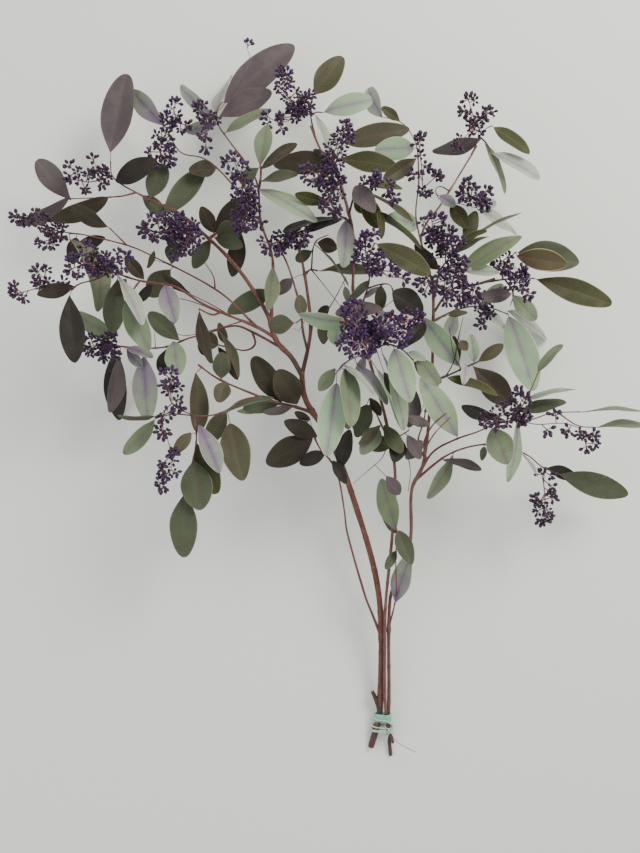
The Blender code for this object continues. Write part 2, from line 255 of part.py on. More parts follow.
# Berry panicles: parent, height, seed, count of umbels, reach, then the axis lines.
panicles = {
    "berries_far_left": ("spray_left_high", 3.6, 11, 6, 1.3, [[(-40.9, 66.9), (-42.4, 67.3), (-43.8, 68),
        (-45.5, 69.2), (-47, 69.1)],
                                                             [(-42.4, 67.2), (-43.2, 65.9)]]),
    "berries_left_crown": ("spray_left_top", -0.6, 12, 6, 1.3, [[(-35.3, 74), (-37, 73.9), (-39, 73.6),
        (-40.3, 75.3)],
                                                               [(-36.8, 73.9), (-37.4, 76.1)]]),
    "berries_left_wing": ("spray_left_mid", 8.0, 13, 5, 1.3, [[(-40.2, 59.9), (-42.5, 60.5), (-44.6,
        59.9), (-46.8, 59.3)],
                                                             [(-43.2, 60.4), (-44.4, 61.6)]]),
    "berries_left_eye": ("spray_left_mid", 9.6, 14, 7, 1.3, [[(-35.0, 62.1), (-36.4, 62.5), (-38.2,
        63.1), (-39.9, 62.5)],
                                                             [(-36.2, 62.4), (-35.2, 63.6), (-33.8, 63.7)],
                                                             [(-38, 63.1), (-38.4, 64.7)]]),
    "berries_left_mass": ("stem_left", 5.2, 15, 10, 1.6, [[(-25.2, 68.5), (-26.4, 67.6), (-28, 67.2),
                                                           (-30.2, 67.1)],
                                                         [(-25.9, 67.9), (-25.1, 66.4), (-25.6, 65.2)],
                                                         [(-27.2, 67.4), (-28.6, 68.6)]]),
    "berries_left_low": ("spray_left_low", 1.2, 16, 7, 1.5, [[(-34.4, 52.4), (-35.8, 52.7), (-37.2,
        52.4), (-38.3, 52.4)],
                                                             [(-35.6, 52.6), (-36.2, 51.3)]]),
    "berries_crown": ("spray_crown_left", -2.2, 17, 9, 1.4, [[(-27.6, 79.6), (-28.5, 78.8), (-28.8,
        77.2), (-28, 76.6)],
                                                             [(-28.5, 78.9), (-28.7, 80.4), (-27.4,
                                                                 81.8), (-27, 83.4)],
                                                             [(-27.7, 81.5), (-26, 81)]]),
    "berries_top_left": ("spray_top_left", -2.4, 18, 6, 1.3, [[(-21.6, 81.6), (-22.8, 82.1), (-23.6, 82.9)],
                                                             [(-22.7, 82), (-22.9, 80.2), (-23, 78.4)]]),
    "berries_limb": ("limb_mid", 5.2, 20, 12, 1.6, [[(-15.9, 69), (-17, 69.4), (-18, 70.6), (-17.9,
        72.6), (-18.6, 74.8), (-19.3, 76.2)],
                                                   [(-17, 69.4), (-18.2, 68.4)]]),
    "berries_top": ("spray_top", -1.6, 21, 10, 1.5, [[(-9.6, 82.2), (-10.6, 82.7), (-11.8, 83.9), (-12.9,
        85.3), (-12.6, 87.1)],
                                                    [(-10.5, 82.7), (-10.1, 84)],
                                                    [(-11.3, 83.3), (-12.2, 81.5), (-13.8, 81.3), (-14.7,
                                                        81.8)]]),
    "berries_upper": ("stem_middle", 4.4, 22, 11, 1.6, [[(-5.4, 72.4), (-6.4, 72.6), (-7.1, 71.6), (-6.6,
        70.2)],
                                                       [(-6.4, 72.6), (-7.2, 74.1), (-8.6, 74.6), (-9.6,
                                                           75)],
                                                       [(-6.9, 73.7), (-6.6, 76.5), (-6, 78.6), (-5.1,
                                                           80.4)]]),
    "berries_fork": ("stem_left", 2.0, 23, 8, 1.5, [[(-11.3, 65.6), (-12, 66.3), (-13.2, 66.1), (-14.6,
        65.2)],
                                                    [(-11.8, 66.2), (-10.4, 66.6)]]),
    "berries_up_right": ("spray_centre_up", 7.2, 24, 5, 1.1, [[(-2.4, 73.2), (-1.5, 74)], [(-1.6, 73.9),
        (0.2, 73), (1, 71.9)]]),
    "berries_high": ("stem_right", 3.6, 25, 7, 1.3, [[(4.4, 72.4), (5.3, 73), (6.3, 73.9)],
                                                     [(5.1, 72.9), (4.9, 75.2), (4.6, 77.2), (4.7, 78.8)]]),
    "berries_crown_right": ("spray_crown_right", -0.6, 26, 8, 1.4, [[(12.4, 79.7), (11.9, 80.9), (11.5,
        82.2), (11, 83.8)],
                                                                   [(12, 80.7), (10.7, 79.6), (9.8, 78.6)],
                                                                   [(11.8, 81.4), (12.9, 82.3)]]),
    "berries_right_high": ("spray_right_fork", 5.6, 27, 7, 1.4, [[(10.2, 70.7), (11, 71.4), (12.3, 72),
        (12.8, 71)],
                                                                 [(10.9, 71.3), (10.9, 73)]]),
    "berries_centre": ("spray_centre", 11.0, 28, 8, 1.5, [[(-1.9, 63.2), (-2.4, 64.6), (-2.3, 66)],
                                                          [(-2.3, 64.2), (-0.6, 62.6), (0.4, 61.4), (2,
                                                              61.2)]]),
    "berries_right_mass": ("spray_right_up", 7.6, 29, 15, 1.6, [[(8.2, 63.4), (7.8, 65), (6.4, 66.6),
        (6.2, 68.4)],
                                                              [(7.9, 64.8), (8.6, 66.6)],
                                                              [(8.1, 64), (9.4, 62.9), (9, 61), (8.9,
                                                                  59), (11.3, 58.7)],
                                                              [(9, 61), (6.4, 60.6), (5.2, 60.5)]]),
    "berries_right": ("spray_right", 3.0, 30, 8, 1.3, [[(15.4, 62.6), (14.9, 63.8), (14.9, 65.2)],
                                                       [(15, 63.6), (16.6, 62.9), (17.3, 62.2)],
                                                       [(16.9, 62.6), (17.6, 60.8), (18.3, 59.4)]]),
    "berries_right_near": ("spray_right_back", -3.2, 31, 5, 1.3, [[(12.8, 57.6), (13.8, 58.3), (15, 59)],
                                                                 [(13.2, 57.9), (12.6, 56.4), (12.6,
                                                                     55.6)]]),
    "berries_heart": ("stem_middle", 10.6, 32, 14, 1.6, [[(-2.8, 54), (-1.6, 54), (0, 55), (1.8, 55.3),
                                                          (3.9, 56)],
                                                        [(-2.4, 54), (-4, 55.4), (-4.1, 57.2)],
                                                        [(-2.2, 54), (-3, 52.6), (-4.4, 53.2)],
                                                        [(1.4, 55.2), (2, 53.4)]]),
    "berries_right_low": ("spray_right_low", 6.2, 33, 12, 1.4, [[(16.4, 42.8), (16.9, 44.2), (17.8, 45.3)],
                                                              [(16.7, 43.6), (14.8, 43.4), (13.5, 42.8)],
                                                              [(16.6, 43.2), (19.4, 42.3), (23.2, 42.4),
                                                                  (25.4, 41.6), (26, 39.8)]]),
    "berries_right_hang": ("spray_right_hang", -1.6, 34, 7, 1.5, [[(20.4, 36.6), (20.6, 34.6), (20.8,
        32.6), (20.4, 30.4)]]),
    "berries_hang_left": ("spray_hang_left", 7.0, 35, 11, 1.5, [[(-25.6, 43.5), (-27, 44.6), (-27.8,
        46.2), (-27.5, 48.4)],
                                                              [(-27.2, 44.9), (-28.8, 43.4), (-28.6, 41.6)],
                                                              [(-28.7, 42.6), (-27.6, 39.2), (-27.4,
                                                                  36.8), (-28.3, 34.6)]]),
}


def place(x, y, z):
    """A design point raised by z, moved along its line of sight to the eye."""
    k = (eye - z) / eye
    return Vector((centre[0] + (x - centre[0]) * k, centre[1] + (y - centre[1]) * k, z))


def thin(points, slack):
    """Leave out points that lie within the slack of the line round them."""
    if len(points) < 3:
        return points
    a, b = points[0], points[-1]
    run = (b - a).normalized()
    far, at = 0.0, 0
    for i in range(1, len(points) - 1):
        off = points[i] - a
        d = (off - run * off.dot(run)).length
        if d > far:
            far, at = d, i
    if far < slack:
        return [a, b]
    return thin(points[:at + 1], slack)[:-1] + thin(points[at:], slack)


def slim(points):
    return [tuple(p) for p in thin([Vector(p) for p in points], 0.18)]


def tube(points, r0, r1, sides, first=None):
    """Closed tube along points whose radius runs from r0 to r1."""
    verts, faces = [], []
    total = sum((b - a).length for a, b in zip(points, points[1:]))
    run, side = 0.0, None
    for i, p in enumerate(points):
        if i:
            run += (p - points[i - 1]).length
        a = points[max(0, i - 1)]
        b = points[min(len(points) - 1, i + 1)]
        t = ((p - a).normalized() + (b - p).normalized()).normalized()
        if i == 0 and first is not None:
            t = first.normalized()
        if side is None:
            side = t.orthogonal().normalized()
        side = (side - t * side.dot(t)).normalized()
        other = t.cross(side)
        r = r0 + (r1 - r0) * run / total
        for k in range(sides):
            q = 2 * math.pi * k / sides
            verts.append(p + (side * math.cos(q) + other * math.sin(q)) * r)
    for i in range(len(points) - 1):
        for k in range(sides):
            a, b = i * sides + k, i * sides + (k + 1) % sides
            faces += [(a, b, b + sides), (a, b + sides, a + sides)]
    last = (len(points) - 1) * sides
    for k in range(1, sides - 1):
        faces += [(0, k + 1, k), (last, last + k, last + k + 1)]
    return verts, faces


def leafShape(root, fat, base, tip, seen, roll, bow, grow, part=0):
    """Closed leaf: stalk, then blade stations with one sense of diagonal."""
    axis = tip - base
    length = axis.length
    along = axis.normalized()
    side = along.cross(Vector((0, 0, 1))).normalized()
    normal = side.cross(along)
    natural = max(seen, min(0.40 * length, 3.0))
    angle = math.acos(min(1.0, seen / natural)) * roll
    flat = side * math.cos(angle) + normal * math.sin(angle)
    up = flat.cross(along) * -1.0
    if up.z < 0:
        up = -up
    verts, faces = [], []
    stations = [(root, fat * 0.36, fat * 0.36), (base, 0.10, 0.06)]
    for t, w in ((0.30, 0.46), (0.66, 0.46), (1.0, 0.10)) if length > 4.5 else ((0.45, 0.5), (1.0, 0.14)):
        arch = 4 * t * (1 - t)
        stations.append((base + axis * t + up * arch * 0.05 * length + side * arch * bow * length,
                         w * natural, 0.04))
    ahead = (base - root).normalized()
    turns = [along.rotation_difference(ahead), along.rotation_difference((ahead + along).normalized())]
    if part:
        stations[0] = (base.lerp(tip, 0.12), 0.12 * natural, 0.04)
        del stations[1]
        turns = []
    for i, (p, w, h) in enumerate(stations):
        w += grow
        h += grow
        wide, high = flat * w, up * h
        if i < len(turns):
            wide, high = turns[i] @ wide, turns[i] @ high
        verts += [p - wide - high, p + wide - high, p + wide + high, p - wide + high]
    for i in range(len(stations) - 1):
        a, b = i * 4, i * 4 + 4
        faces += [(a, a + 1, b + 1), (a, b + 1, b), (a + 1, a + 2, b + 2), (a + 1, b + 2, b + 1)]
        faces += [(a + 3, b + 2, a + 2), (a + 3, b + 3, b + 2), (a + 3, a, b), (a + 3, b, b + 3)]
    last = (len(stations) - 1) * 4
    faces += [(0, 2, 1), (0, 3, 2), (last, last + 1, last + 2), (last, last + 2, last + 3)]
    return verts, faces


def budOn(tri, way, size):
    """Ring and tip of a three-sided, club-shaped bud on a small triangle."""
    mid = sum(tri, Vector()) / 3
    ring = []
    for v in tri:
        off = v - mid
        ring.append(mid + way * 0.8 * size + (off - way * off.dot(way)).normalized() * 0.27 * size)
    return ring, mid + way * 1.12 * size


def umbelShape(foot, top, way, fan, sizes, turn, use, axis=None):
    """Stalk (or whole axis), six-cornered hub and its buds, as one closed skin."""
    side = way.orthogonal().normalized()
    other = way.cross(side)

    def ring(base, r, lag):
        out = []
        for k in range(3):
            q = turn + (2 * k + lag) * math.pi / 3
            out.append(base + (side * math.cos(q) + other * math.sin(q)) * r)
        return out

    low = ring(top - way * 0.05, 0.075, 0)
    if axis:
        verts, faces = list(axis[0]), list(axis[1][:-1])
    else:
        verts, faces = ring(foot, 0.05, 0), [(0, 2, 1)]
    n = len(verts)
    feet = verts[-3:]
    lag = min(range(3), key=lambda m: sum((low[k] - feet[(k + m) % 3]).length for k in range(3)))
    feet = [n - 3 + (k + lag) % 3 for k in range(3)]
    verts += low + ring(top + way * 0.09, 0.075, 1)
    for k in range(3):
        a, b = n + k, n + (k + 1) % 3
        faces += [(feet[k], feet[(k + 1) % 3], b), (feet[k], b, a), (b, b + 3, a + 3)]
    spots = [(n + 3, n + 4, n + 5)] + [(n + k, n + (k + 1) % 3, n + 3 + k) for k in range(3)]
    for m, spot in enumerate(spots):
        if m not in use:
            faces.append(spot)
            continue
        belly, apex = budOn([verts[i] for i in spot], fan[m], sizes[m])
        first = len(verts)
        verts += belly + [apex]
        for k in range(3):
            a, b = spot[k], spot[(k + 1) % 3]
            c, d = first + k, first + (k + 1) % 3
            faces += [(a, b, d), (a, d, c), (c, d, first + 3)]
    return verts, faces


def budAlone(top, way, size):
    """Fattened stand-in of one bud, for the clearance test."""
    side = way.orthogonal().normalized()
    other = way.cross(side)
    verts, faces = [], []
    for s, r in ((0.1, 0.10), (0.45, 0.14), (0.80, 0.33), (1.24, 0.06)):
        for k in range(6):
            q = math.pi * k / 3
            verts.append(top + way * s * size + (side * math.cos(q) + other * math.sin(q)) * r * size)
    for i in (0, 6, 12):
        for k in range(6):
            a, b = i + k, i + (k + 1) % 6
            faces += [(a, b, b + 6), (a, b + 6, a + 6)]
    return verts, faces


placed = []
lines = {}
solids = {}


def boxOf(verts):
    lo = [min(v[i] for v in verts) for i in range(3)]
    hi = [max(v[i] for v in verts) for i in range(3)]
    return lo, hi


def clear(node, shape, skip=(), own=False):
    """True when a shape meets no solid of another node (or, with own, of its node)."""
    verts, faces = shape
    lo, hi = boxOf(verts)
    tree = None
    for other, olo, ohi, otree in placed:
        if (other == node) != own or other in skip:
            continue
        if any(hi[i] < olo[i] or lo[i] > ohi[i] for i in range(3)):
            continue
        if tree is None:
            tree = BVHTree.FromPolygons(verts, faces)
        if tree.overlap(otree):
            return False
    return True


def keep(node, shape):
    """Add a solid to its node and to the list that later solids avoid."""
    verts, faces = shape
    lo, hi = boxOf(verts)
    placed.append((node, lo, hi, BVHTree.FromPolygons(verts, faces)))
    solids.setdefault(node, []).append(shape)


def sheetOf(q):
    """The design point that place() moves to q."""
    k = (eye - q.z) / eye
    return Vector((centre[0] + (q.x - centre[0]) / k, centre[1] + (q.y - centre[1]) / k, q.z))


def record(node, path, r0, r1, start=0):
    """Centre line of a twig: sheet point, radius and real point, every half centimetre."""
    row = []
    for a, b in zip(path, path[1:]):
        n = max(1, int((b - a).length / 0.5))
        row += [a.lerp(b, i / n) for i in range(n)]
    row.append(path[-1])
    n = len(row) - 1
    row = [(sheetOf(q), r0 + (r1 - r0) * i / n, q) for i, q in enumerate(row)]
    lines.setdefault(node, []).append(row[start:])


def nearest(node, x, y):
    """Closest centre-line sample of a node, its radius, real point and direction."""
    best = None
    for row in lines[node]:
        for i, (p, r, q) in enumerate(row):
            d = (p.x - x) ** 2 + (p.y - y) ** 2
            if best is None or d < best[0]:
                a, b = row[max(0, i - 1)][2], row[min(len(row) - 1, i + 1)][2]
                best = (d, p, r, q, (b - a).normalized())
    return best[1:]


def rise(points, z0, z1):
    """Heights that ease from z0 at the first point to z1 at the last."""
    steps = [0.0]
    for a, b in zip(points, points[1:]):
        steps.append(steps[-1] + math.hypot(b[0] - a[0], b[1] - a[1]))
    out = []
    for p, s in zip(points, steps):
        t = min(1.0, 1.6 * s / steps[-1])
        out.append((p[0], p[1], z0 + (z1 - z0) * t * t * (3 - 2 * t)))
    return out


def grow(node, parent, points, height, r, sides, tries):
    """Twig from just off its parent's skin, at the first height that is clear."""
    foot, fat, spot, run = nearest(parent, points[0][0], points[0][1])
    for step in tries:
        heights = slim(rise([(foot.x, foot.y)] + list(points[1:]), foot.z, height + step))
        real = [spot] + [place(*h) for h in heights[1:]]
        ahead = real[1] - real[0]
        out = ahead - run * ahead.dot(run)
        if out.length < 0.05:
            out = Vector((0, 0, 1.0 if height + step > foot.z else -1.0))
        out.normalize()
        start = real[0] + out * (fat + 0.035)
        bend = real[0] + out * (fat + 0.30 + r)
        path = [start, bend] + [p for p in real[1:] if (p - real[0]).length > fat + 0.45 + r]
        late = [path[1] + (path[2] - path[1]) * 0.3] + path[2:] if len(path) > 2 else path
        if clear(node, tube(late, r + 0.06, r * 0.6 + 0.06, 6)):
            if clear(node, tube(path, r + 0.02, r * 0.6 + 0.02, 6), (parent,)):
                break
    else:
        print("no room for twig", node)
    keep(node, tube(path, r, r * 0.6, sides, out))
    record(node, path, r, r * 0.6, 1)
    return step


def branch(node, points, height, r, sides, tries):
    """Side twig whose root is sunk in a twig of its own node."""
    foot, fat, spot, run = nearest(node, points[0][0], points[0][1])
    for step in tries:
        heights = slim(rise([(foot.x, foot.y)] + list(points[1:]), foot.z, height + step))
        real = [spot] + [place(*h) for h in heights[1:]]
        if clear(node, tube(real, r + 0.06, r * 0.6 + 0.06, 6)):
            break
    else:
        print("no room for side twig", node, points[0])
    keep(node, tube(real, min(r, fat * 0.9), r * 0.6, sides))
    record(node, real, r, r * 0.6)


swing = (0, 0.7, -0.7, 1.4, -1.4, 2.1, -2.1, 2.8, -2.8, 3.5, -3.5, 4.4, -4.4, 5.4, -5.4, 6.5, -6.5, 8, -8)

for node, limbs in stems.items():
    for i, (r0, r1, pts) in enumerate(limbs):
        path = [place(*p) for p in slim(pts)]
        keep(node, tube(path, r0, r1, 7 if r0 > 0.4 else 6 if r0 > 0.25 else 5))
        record(node, path, r0, r1)

order = list(sprays)
order.sort(key=lambda n: (n != "limb_mid", sprays[n][0] not in stems))
for node in order:
    parent, height, r, twigs, leaves = sprays[node]
    step = grow(node, parent, twigs[0], height, r, 4 if r > 0.12 else 3, swing)
    for side in twigs[1:]:
        branch(node, side, height + step + 0.5, r * 0.8, 3, swing)

axes = {}
for node, (parent, height, seed, count, reach, rows) in panicles.items():
    step = grow(node, parent, rows[0], height, 0.10, 3, swing)
    for side in rows[1:]:
        branch(node, side, height + step + 0.4, 0.08, 3, swing)


def leafFit(node, entry):
    """Place one leaf at the first rise and roll that clears the rest."""
    bx, by, tx, ty, seen, lift, tone = entry[:7]
    bow = entry[7] if len(entry) > 7 else 0.0
    foot, fat, root, run = nearest(node, bx, by)
    zs = foot.z
    for strict in (True, False):
        for step in swing:
            for roll in (1, -1):
                z0 = zs + 0.25 * (lift + step)
                z1 = zs + lift + step
                base = place(bx, by, z0)
                tip = place(tx, ty, z1)
                stalk, blade = base - root, tip - base
                if stalk.length < 0.35 or stalk.dot(blade) < -0.2 * stalk.length * blade.length:
                    base = root + (tip - root).normalized() * max(0.35, stalk.length)
                wide = seen * (eye - z1) / eye
                if not clear(node, leafShape(root, fat, base, tip, wide, roll, bow, 0.05)):
                    continue
                if strict and not clear(node, leafShape(root, fat, base, tip, wide, roll, bow, 0.02, 1),
                                        own=True):
                    continue
                keep(node, leafShape(root, fat, base, tip, wide, roll, bow, 0.0))
                return
    print("no room for leaf", node, entry)


todo = [((e[4] + 0.5) * math.hypot(e[2] - e[0], e[3] - e[1]), n, i) for n in sprays for i,
        e in enumerate(sprays[n][4])]
todo = sorted([t for t in todo if t[0] > 9.0], reverse=True)
print("leaves", len(todo))
for size, node, i in todo:
    leafFit(node, sprays[node][4][i])


def umbels(node):
    """Umbels round a panicle axis: golden-angle stalks, each with a fan of buds."""
    parent, height, seed, count, reach, rows = panicles[node]
    rand = random.Random(seed)
    spots = [q for row in lines[node] for p, r, q in row[2:]]
    turn = rand.uniform(0, 6)
    out = []
    for i in range(count):
        if i < len(rows):
            row = lines[node][i]
            foot = row[-1][2]
            way = (foot - row[-3][2]).normalized()
            stalk = 0.35
        else:
            foot = spots[int((i + rand.random() * 0.8 - len(rows)) / (count - len(rows)) * (len(spots) - 1))]
            turn += 2.4
            way = Vector((math.cos(turn), math.sin(turn), 0.75 * math.sin(turn * 1.7 + seed))).normalized()
            stalk = reach * rand.uniform(0.45, 0.95)
        top = foot + way * stalk
        side = way.orthogonal().normalized()
        other = way.cross(side)
        spin = rand.uniform(0, 2)
        fan = [way]
        for k in range(6):
            q = spin + (2 * (k % 3) + (1 if k < 3 else 0)) * math.pi / 3 + rand.uniform(-0.15, 0.15)
            around = side * math.cos(q) + other * math.sin(q)
            tilt = rand.uniform(1.2, 1.45) if k < 3 else rand.uniform(0.65, 0.85)
            fan.append((way * math.cos(tilt) + around * math.sin(tilt)).normalized())
        out.append((foot, top, way, fan, [rand.uniform(0.88, 1.1) for k in range(7)], spin))
    return out


for node in panicles:
    made = 0
    for i, (foot, top, way, fan, sizes, spin) in enumerate(umbels(node)):
        if i >= len(panicles[node][5]) and i % 4:
            continue
        for short in (1, 0.7, 0.45, 0.25):
            top = foot + way * (top - foot).length * short
            if clear(node, tube([foot, top + way * 0.1], 0.11, 0.13, 6)):
                break
        else:
            print("no room for umbel", node, i)
            continue
        use = [k for k in range(4) if clear(node, budAlone(top, fan[k], sizes[k]))]
        axis = solids[node][i] if i < len(panicles[node][5]) else None
        shape = umbelShape(foot, top, way, fan, sizes, spin, use, axis)
        keep(node, shape)
        if axis:
            solids[node][i] = solids[node].pop()
        made += len(use)
    print(node, "buds", made)


def bandShape(levels, gap, fat):
    """Ring that wraps the three stems, found from their centre lines."""
    sides = 10
    verts, faces = [], []
    rings = []
    for y, extra in levels:
        discs = []
        for stem in stems:
            for (p, r, a), (q, t, b) in zip(lines[stem][0], lines[stem][0][1:]):
                if a.y <= y <= b.y:
                    mid = a.lerp(b, (y - a.y) / (b.y - a.y))
                    discs.append((Vector((mid.x, mid.z)), r))
                    break
        for off in (gap, gap + fat * extra):
            ring = []
            for k in range(sides):
                q = 2 * math.pi * k / sides
                d = Vector((math.cos(q), math.sin(q)))
                c, r = max(discs, key=lambda s: s[0].dot(d) + s[1])
                flat = c + d * (r + off)
                ring.append(Vector((flat.x, y, flat.y)))
            rings.append(ring)
    order = [rings[i] for i in range(0, len(rings), 2)] + [rings[i] for i in range(len(rings) - 1, 0, -2)]
    for ring in order:
        verts += ring
    n = len(order)
    for i in range(n):
        for k in range(sides):
            a, b = i * sides + k, i * sides + (k + 1) % sides
            c, d = ((i + 1) % n) * sides + k, ((i + 1) % n) * sides + (k + 1) % sides
            faces += [(a, b, d), (a, d, c)]
    return verts, faces


bandLow = place(0, 4.0, -11.3).y
bandHigh = place(0, 5.0, -11.1).y
stringLow = place(0, 2.6, -11.6).y
stringHigh = place(0, 3.6, -11.4).y
keep("tie_band", bandShape([(bandLow, 1.0), (bandHigh, 1.0)], 0.07, 0.12))
s = (stringHigh - stringLow) / 4
string = bandShape([(stringLow, 0.9), (stringLow + 2 * s, 1.6), (stringHigh, 0.9)], 0.07, 0.14)
keep("tie_string", string)
peak = max(string[0], key=lambda v: v.z)
knot = Vector((peak.x, stringLow + 2 * s, peak.z + 0.02))
wings = [knot + Vector((-0.45, 0.1, -0.05)), knot + Vector((0, 0, 0.05)), knot + Vector((0.4, 0.12, -0.05))]
keep("tie_string", tube(wings, 0.2, 0.2, 6))
tails = [(0.13, 0.11, [(-0.5, -1.0, 0.35), (-0.4, -2.6, 0.2)]), (0.12, 0.08, [(1.1, -1.5, 0.6), (3.6, -2.9, 0.4)])]
for r0, r1, turns in tails:
    keep("tie_string", tube([knot] + [knot + Vector(t) for t in turns], r0, r1, 5))

bark = (0.36, 0.15, 0.09, 1)
tones = {
    "stem_left": bark, "stem_middle": (0.33, 0.2, 0.18, 1), "stem_right": (0.36, 0.2, 0.18, 1),
    "tie_band": (0.26, 0.6, 0.42, 1), "tie_string": (0.5, 0.62, 0.45, 1),
}
pale = (0.42, 0.52, 0.36, 1)
dark = (0.12, 0.11, 0.06, 1)
berry = (0.035, 0.016, 0.06, 1)


def paint(node):
    """Material of a node: bark, berry, or the tone most of its leaves have."""
    if node in tones:
        colour = tones[node]
    elif node in panicles:
        colour = berry
    else:
        marks = [e[6] for e in sprays[node][4]]
        light = sum(1 for m in marks if m <= 3)
        colour = pale if light * 2 >= len(marks) else dark
    mat = bpy.data.materials.new(node)
    mat.diffuse_color = colour
    mat.use_nodes = True
    mat.node_tree.nodes["Principled BSDF"].inputs["Base Color"].default_value = colour
    return mat


def solid(name, shape):
    mesh = bpy.data.meshes.new(name)
    mesh.from_pydata([v * cm for v in shape[0]], [], shape[1])
    bm = bmesh.new()
    bm.from_mesh(mesh)
    bmesh.ops.recalc_face_normals(bm, faces=bm.faces)
    bm.to_mesh(mesh)
    bm.free()
    ob = bpy.data.objects.new(name, mesh)
    return ob


def fuse(node):
    """One union of all the solids of a node, applied and cleaned."""
    shapes = solids[node]
    body = solid(node, shapes[0])
    bpy.context.scene.collection.objects.link(body)
    if len(shapes) > 1:
        group = bpy.data.collections.new(node + "_parts")
        bpy.context.scene.collection.children.link(group)
        rest = [solid(node + "_" + str(i), s) for i, s in enumerate(shapes[1:])]
        for ob in rest:
            group.objects.link(ob)
        mod = body.modifiers.new("union", "BOOLEAN")
        mod.operation = "UNION"
        mod.operand_type = "COLLECTION"
        mod.collection = group
        mod.solver = "MANIFOLD"
        bpy.context.view_layer.update()
        graph = bpy.context.evaluated_depsgraph_get()
        mesh = bpy.data.meshes.new_from_object(body.evaluated_get(graph))
        body.modifiers.clear()
        body.data = mesh
        for ob in rest:
            bpy.data.objects.remove(ob, do_unlink=True)
        bpy.data.collections.remove(group)
    body.data.name = node
    body.data.materials.clear()
    body.data.materials.append(paint(node))
    return body


for ob in list(bpy.data.objects):
    bpy.data.objects.remove(ob, do_unlink=True)

bodies = [fuse(node) for node in solids]
points = [v.co for b in bodies for v in b.data.vertices]
lo = [min(p[i] for p in points) for i in range(3)]
hi = [max(p[i] for p in points) for i in range(3)]
shift = Vector((-(lo[0] + hi[0]) / 2, -(lo[1] + hi[1]) / 2, -lo[2]))
total = 0
for body in bodies:
    for v in body.data.vertices:
        v.co += shift
    body.data.update()
    count = sum(len(p.vertices) - 2 for p in body.data.polygons)
    total += count
print("nodes", len(bodies), "triangles", total, "size", [round(hi[i] - lo[i], 3) for i in range(3)])
print("shift", [round(s, 5) for s in shift])
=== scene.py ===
import math
import random

import bpy
import numpy as np
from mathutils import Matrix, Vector
from mathutils.bvhtree import BVHTree

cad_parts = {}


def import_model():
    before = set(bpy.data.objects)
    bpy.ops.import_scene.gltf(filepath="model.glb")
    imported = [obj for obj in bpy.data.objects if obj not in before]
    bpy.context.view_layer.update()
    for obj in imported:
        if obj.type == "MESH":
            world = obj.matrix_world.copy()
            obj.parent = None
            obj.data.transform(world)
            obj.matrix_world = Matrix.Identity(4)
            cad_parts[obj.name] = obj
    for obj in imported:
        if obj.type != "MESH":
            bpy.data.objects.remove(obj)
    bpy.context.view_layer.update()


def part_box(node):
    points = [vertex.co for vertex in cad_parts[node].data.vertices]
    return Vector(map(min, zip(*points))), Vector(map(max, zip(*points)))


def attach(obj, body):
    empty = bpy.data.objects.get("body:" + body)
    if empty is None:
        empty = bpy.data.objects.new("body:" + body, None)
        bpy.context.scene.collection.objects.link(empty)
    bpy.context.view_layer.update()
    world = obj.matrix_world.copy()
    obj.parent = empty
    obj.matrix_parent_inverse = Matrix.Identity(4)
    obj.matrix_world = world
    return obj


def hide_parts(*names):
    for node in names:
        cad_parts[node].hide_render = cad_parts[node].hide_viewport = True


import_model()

print("frame loaded")

# Tied bunch of seeded eucalyptus, lying on its back and seen from straight above.
# Lengths are centimetres on the plane of the stems until a mesh is made.
cm = 0.01
eye = 117.0  # height of the camera above that plane
centre = (-8.26, 42.0)  # point of the plane right below the camera

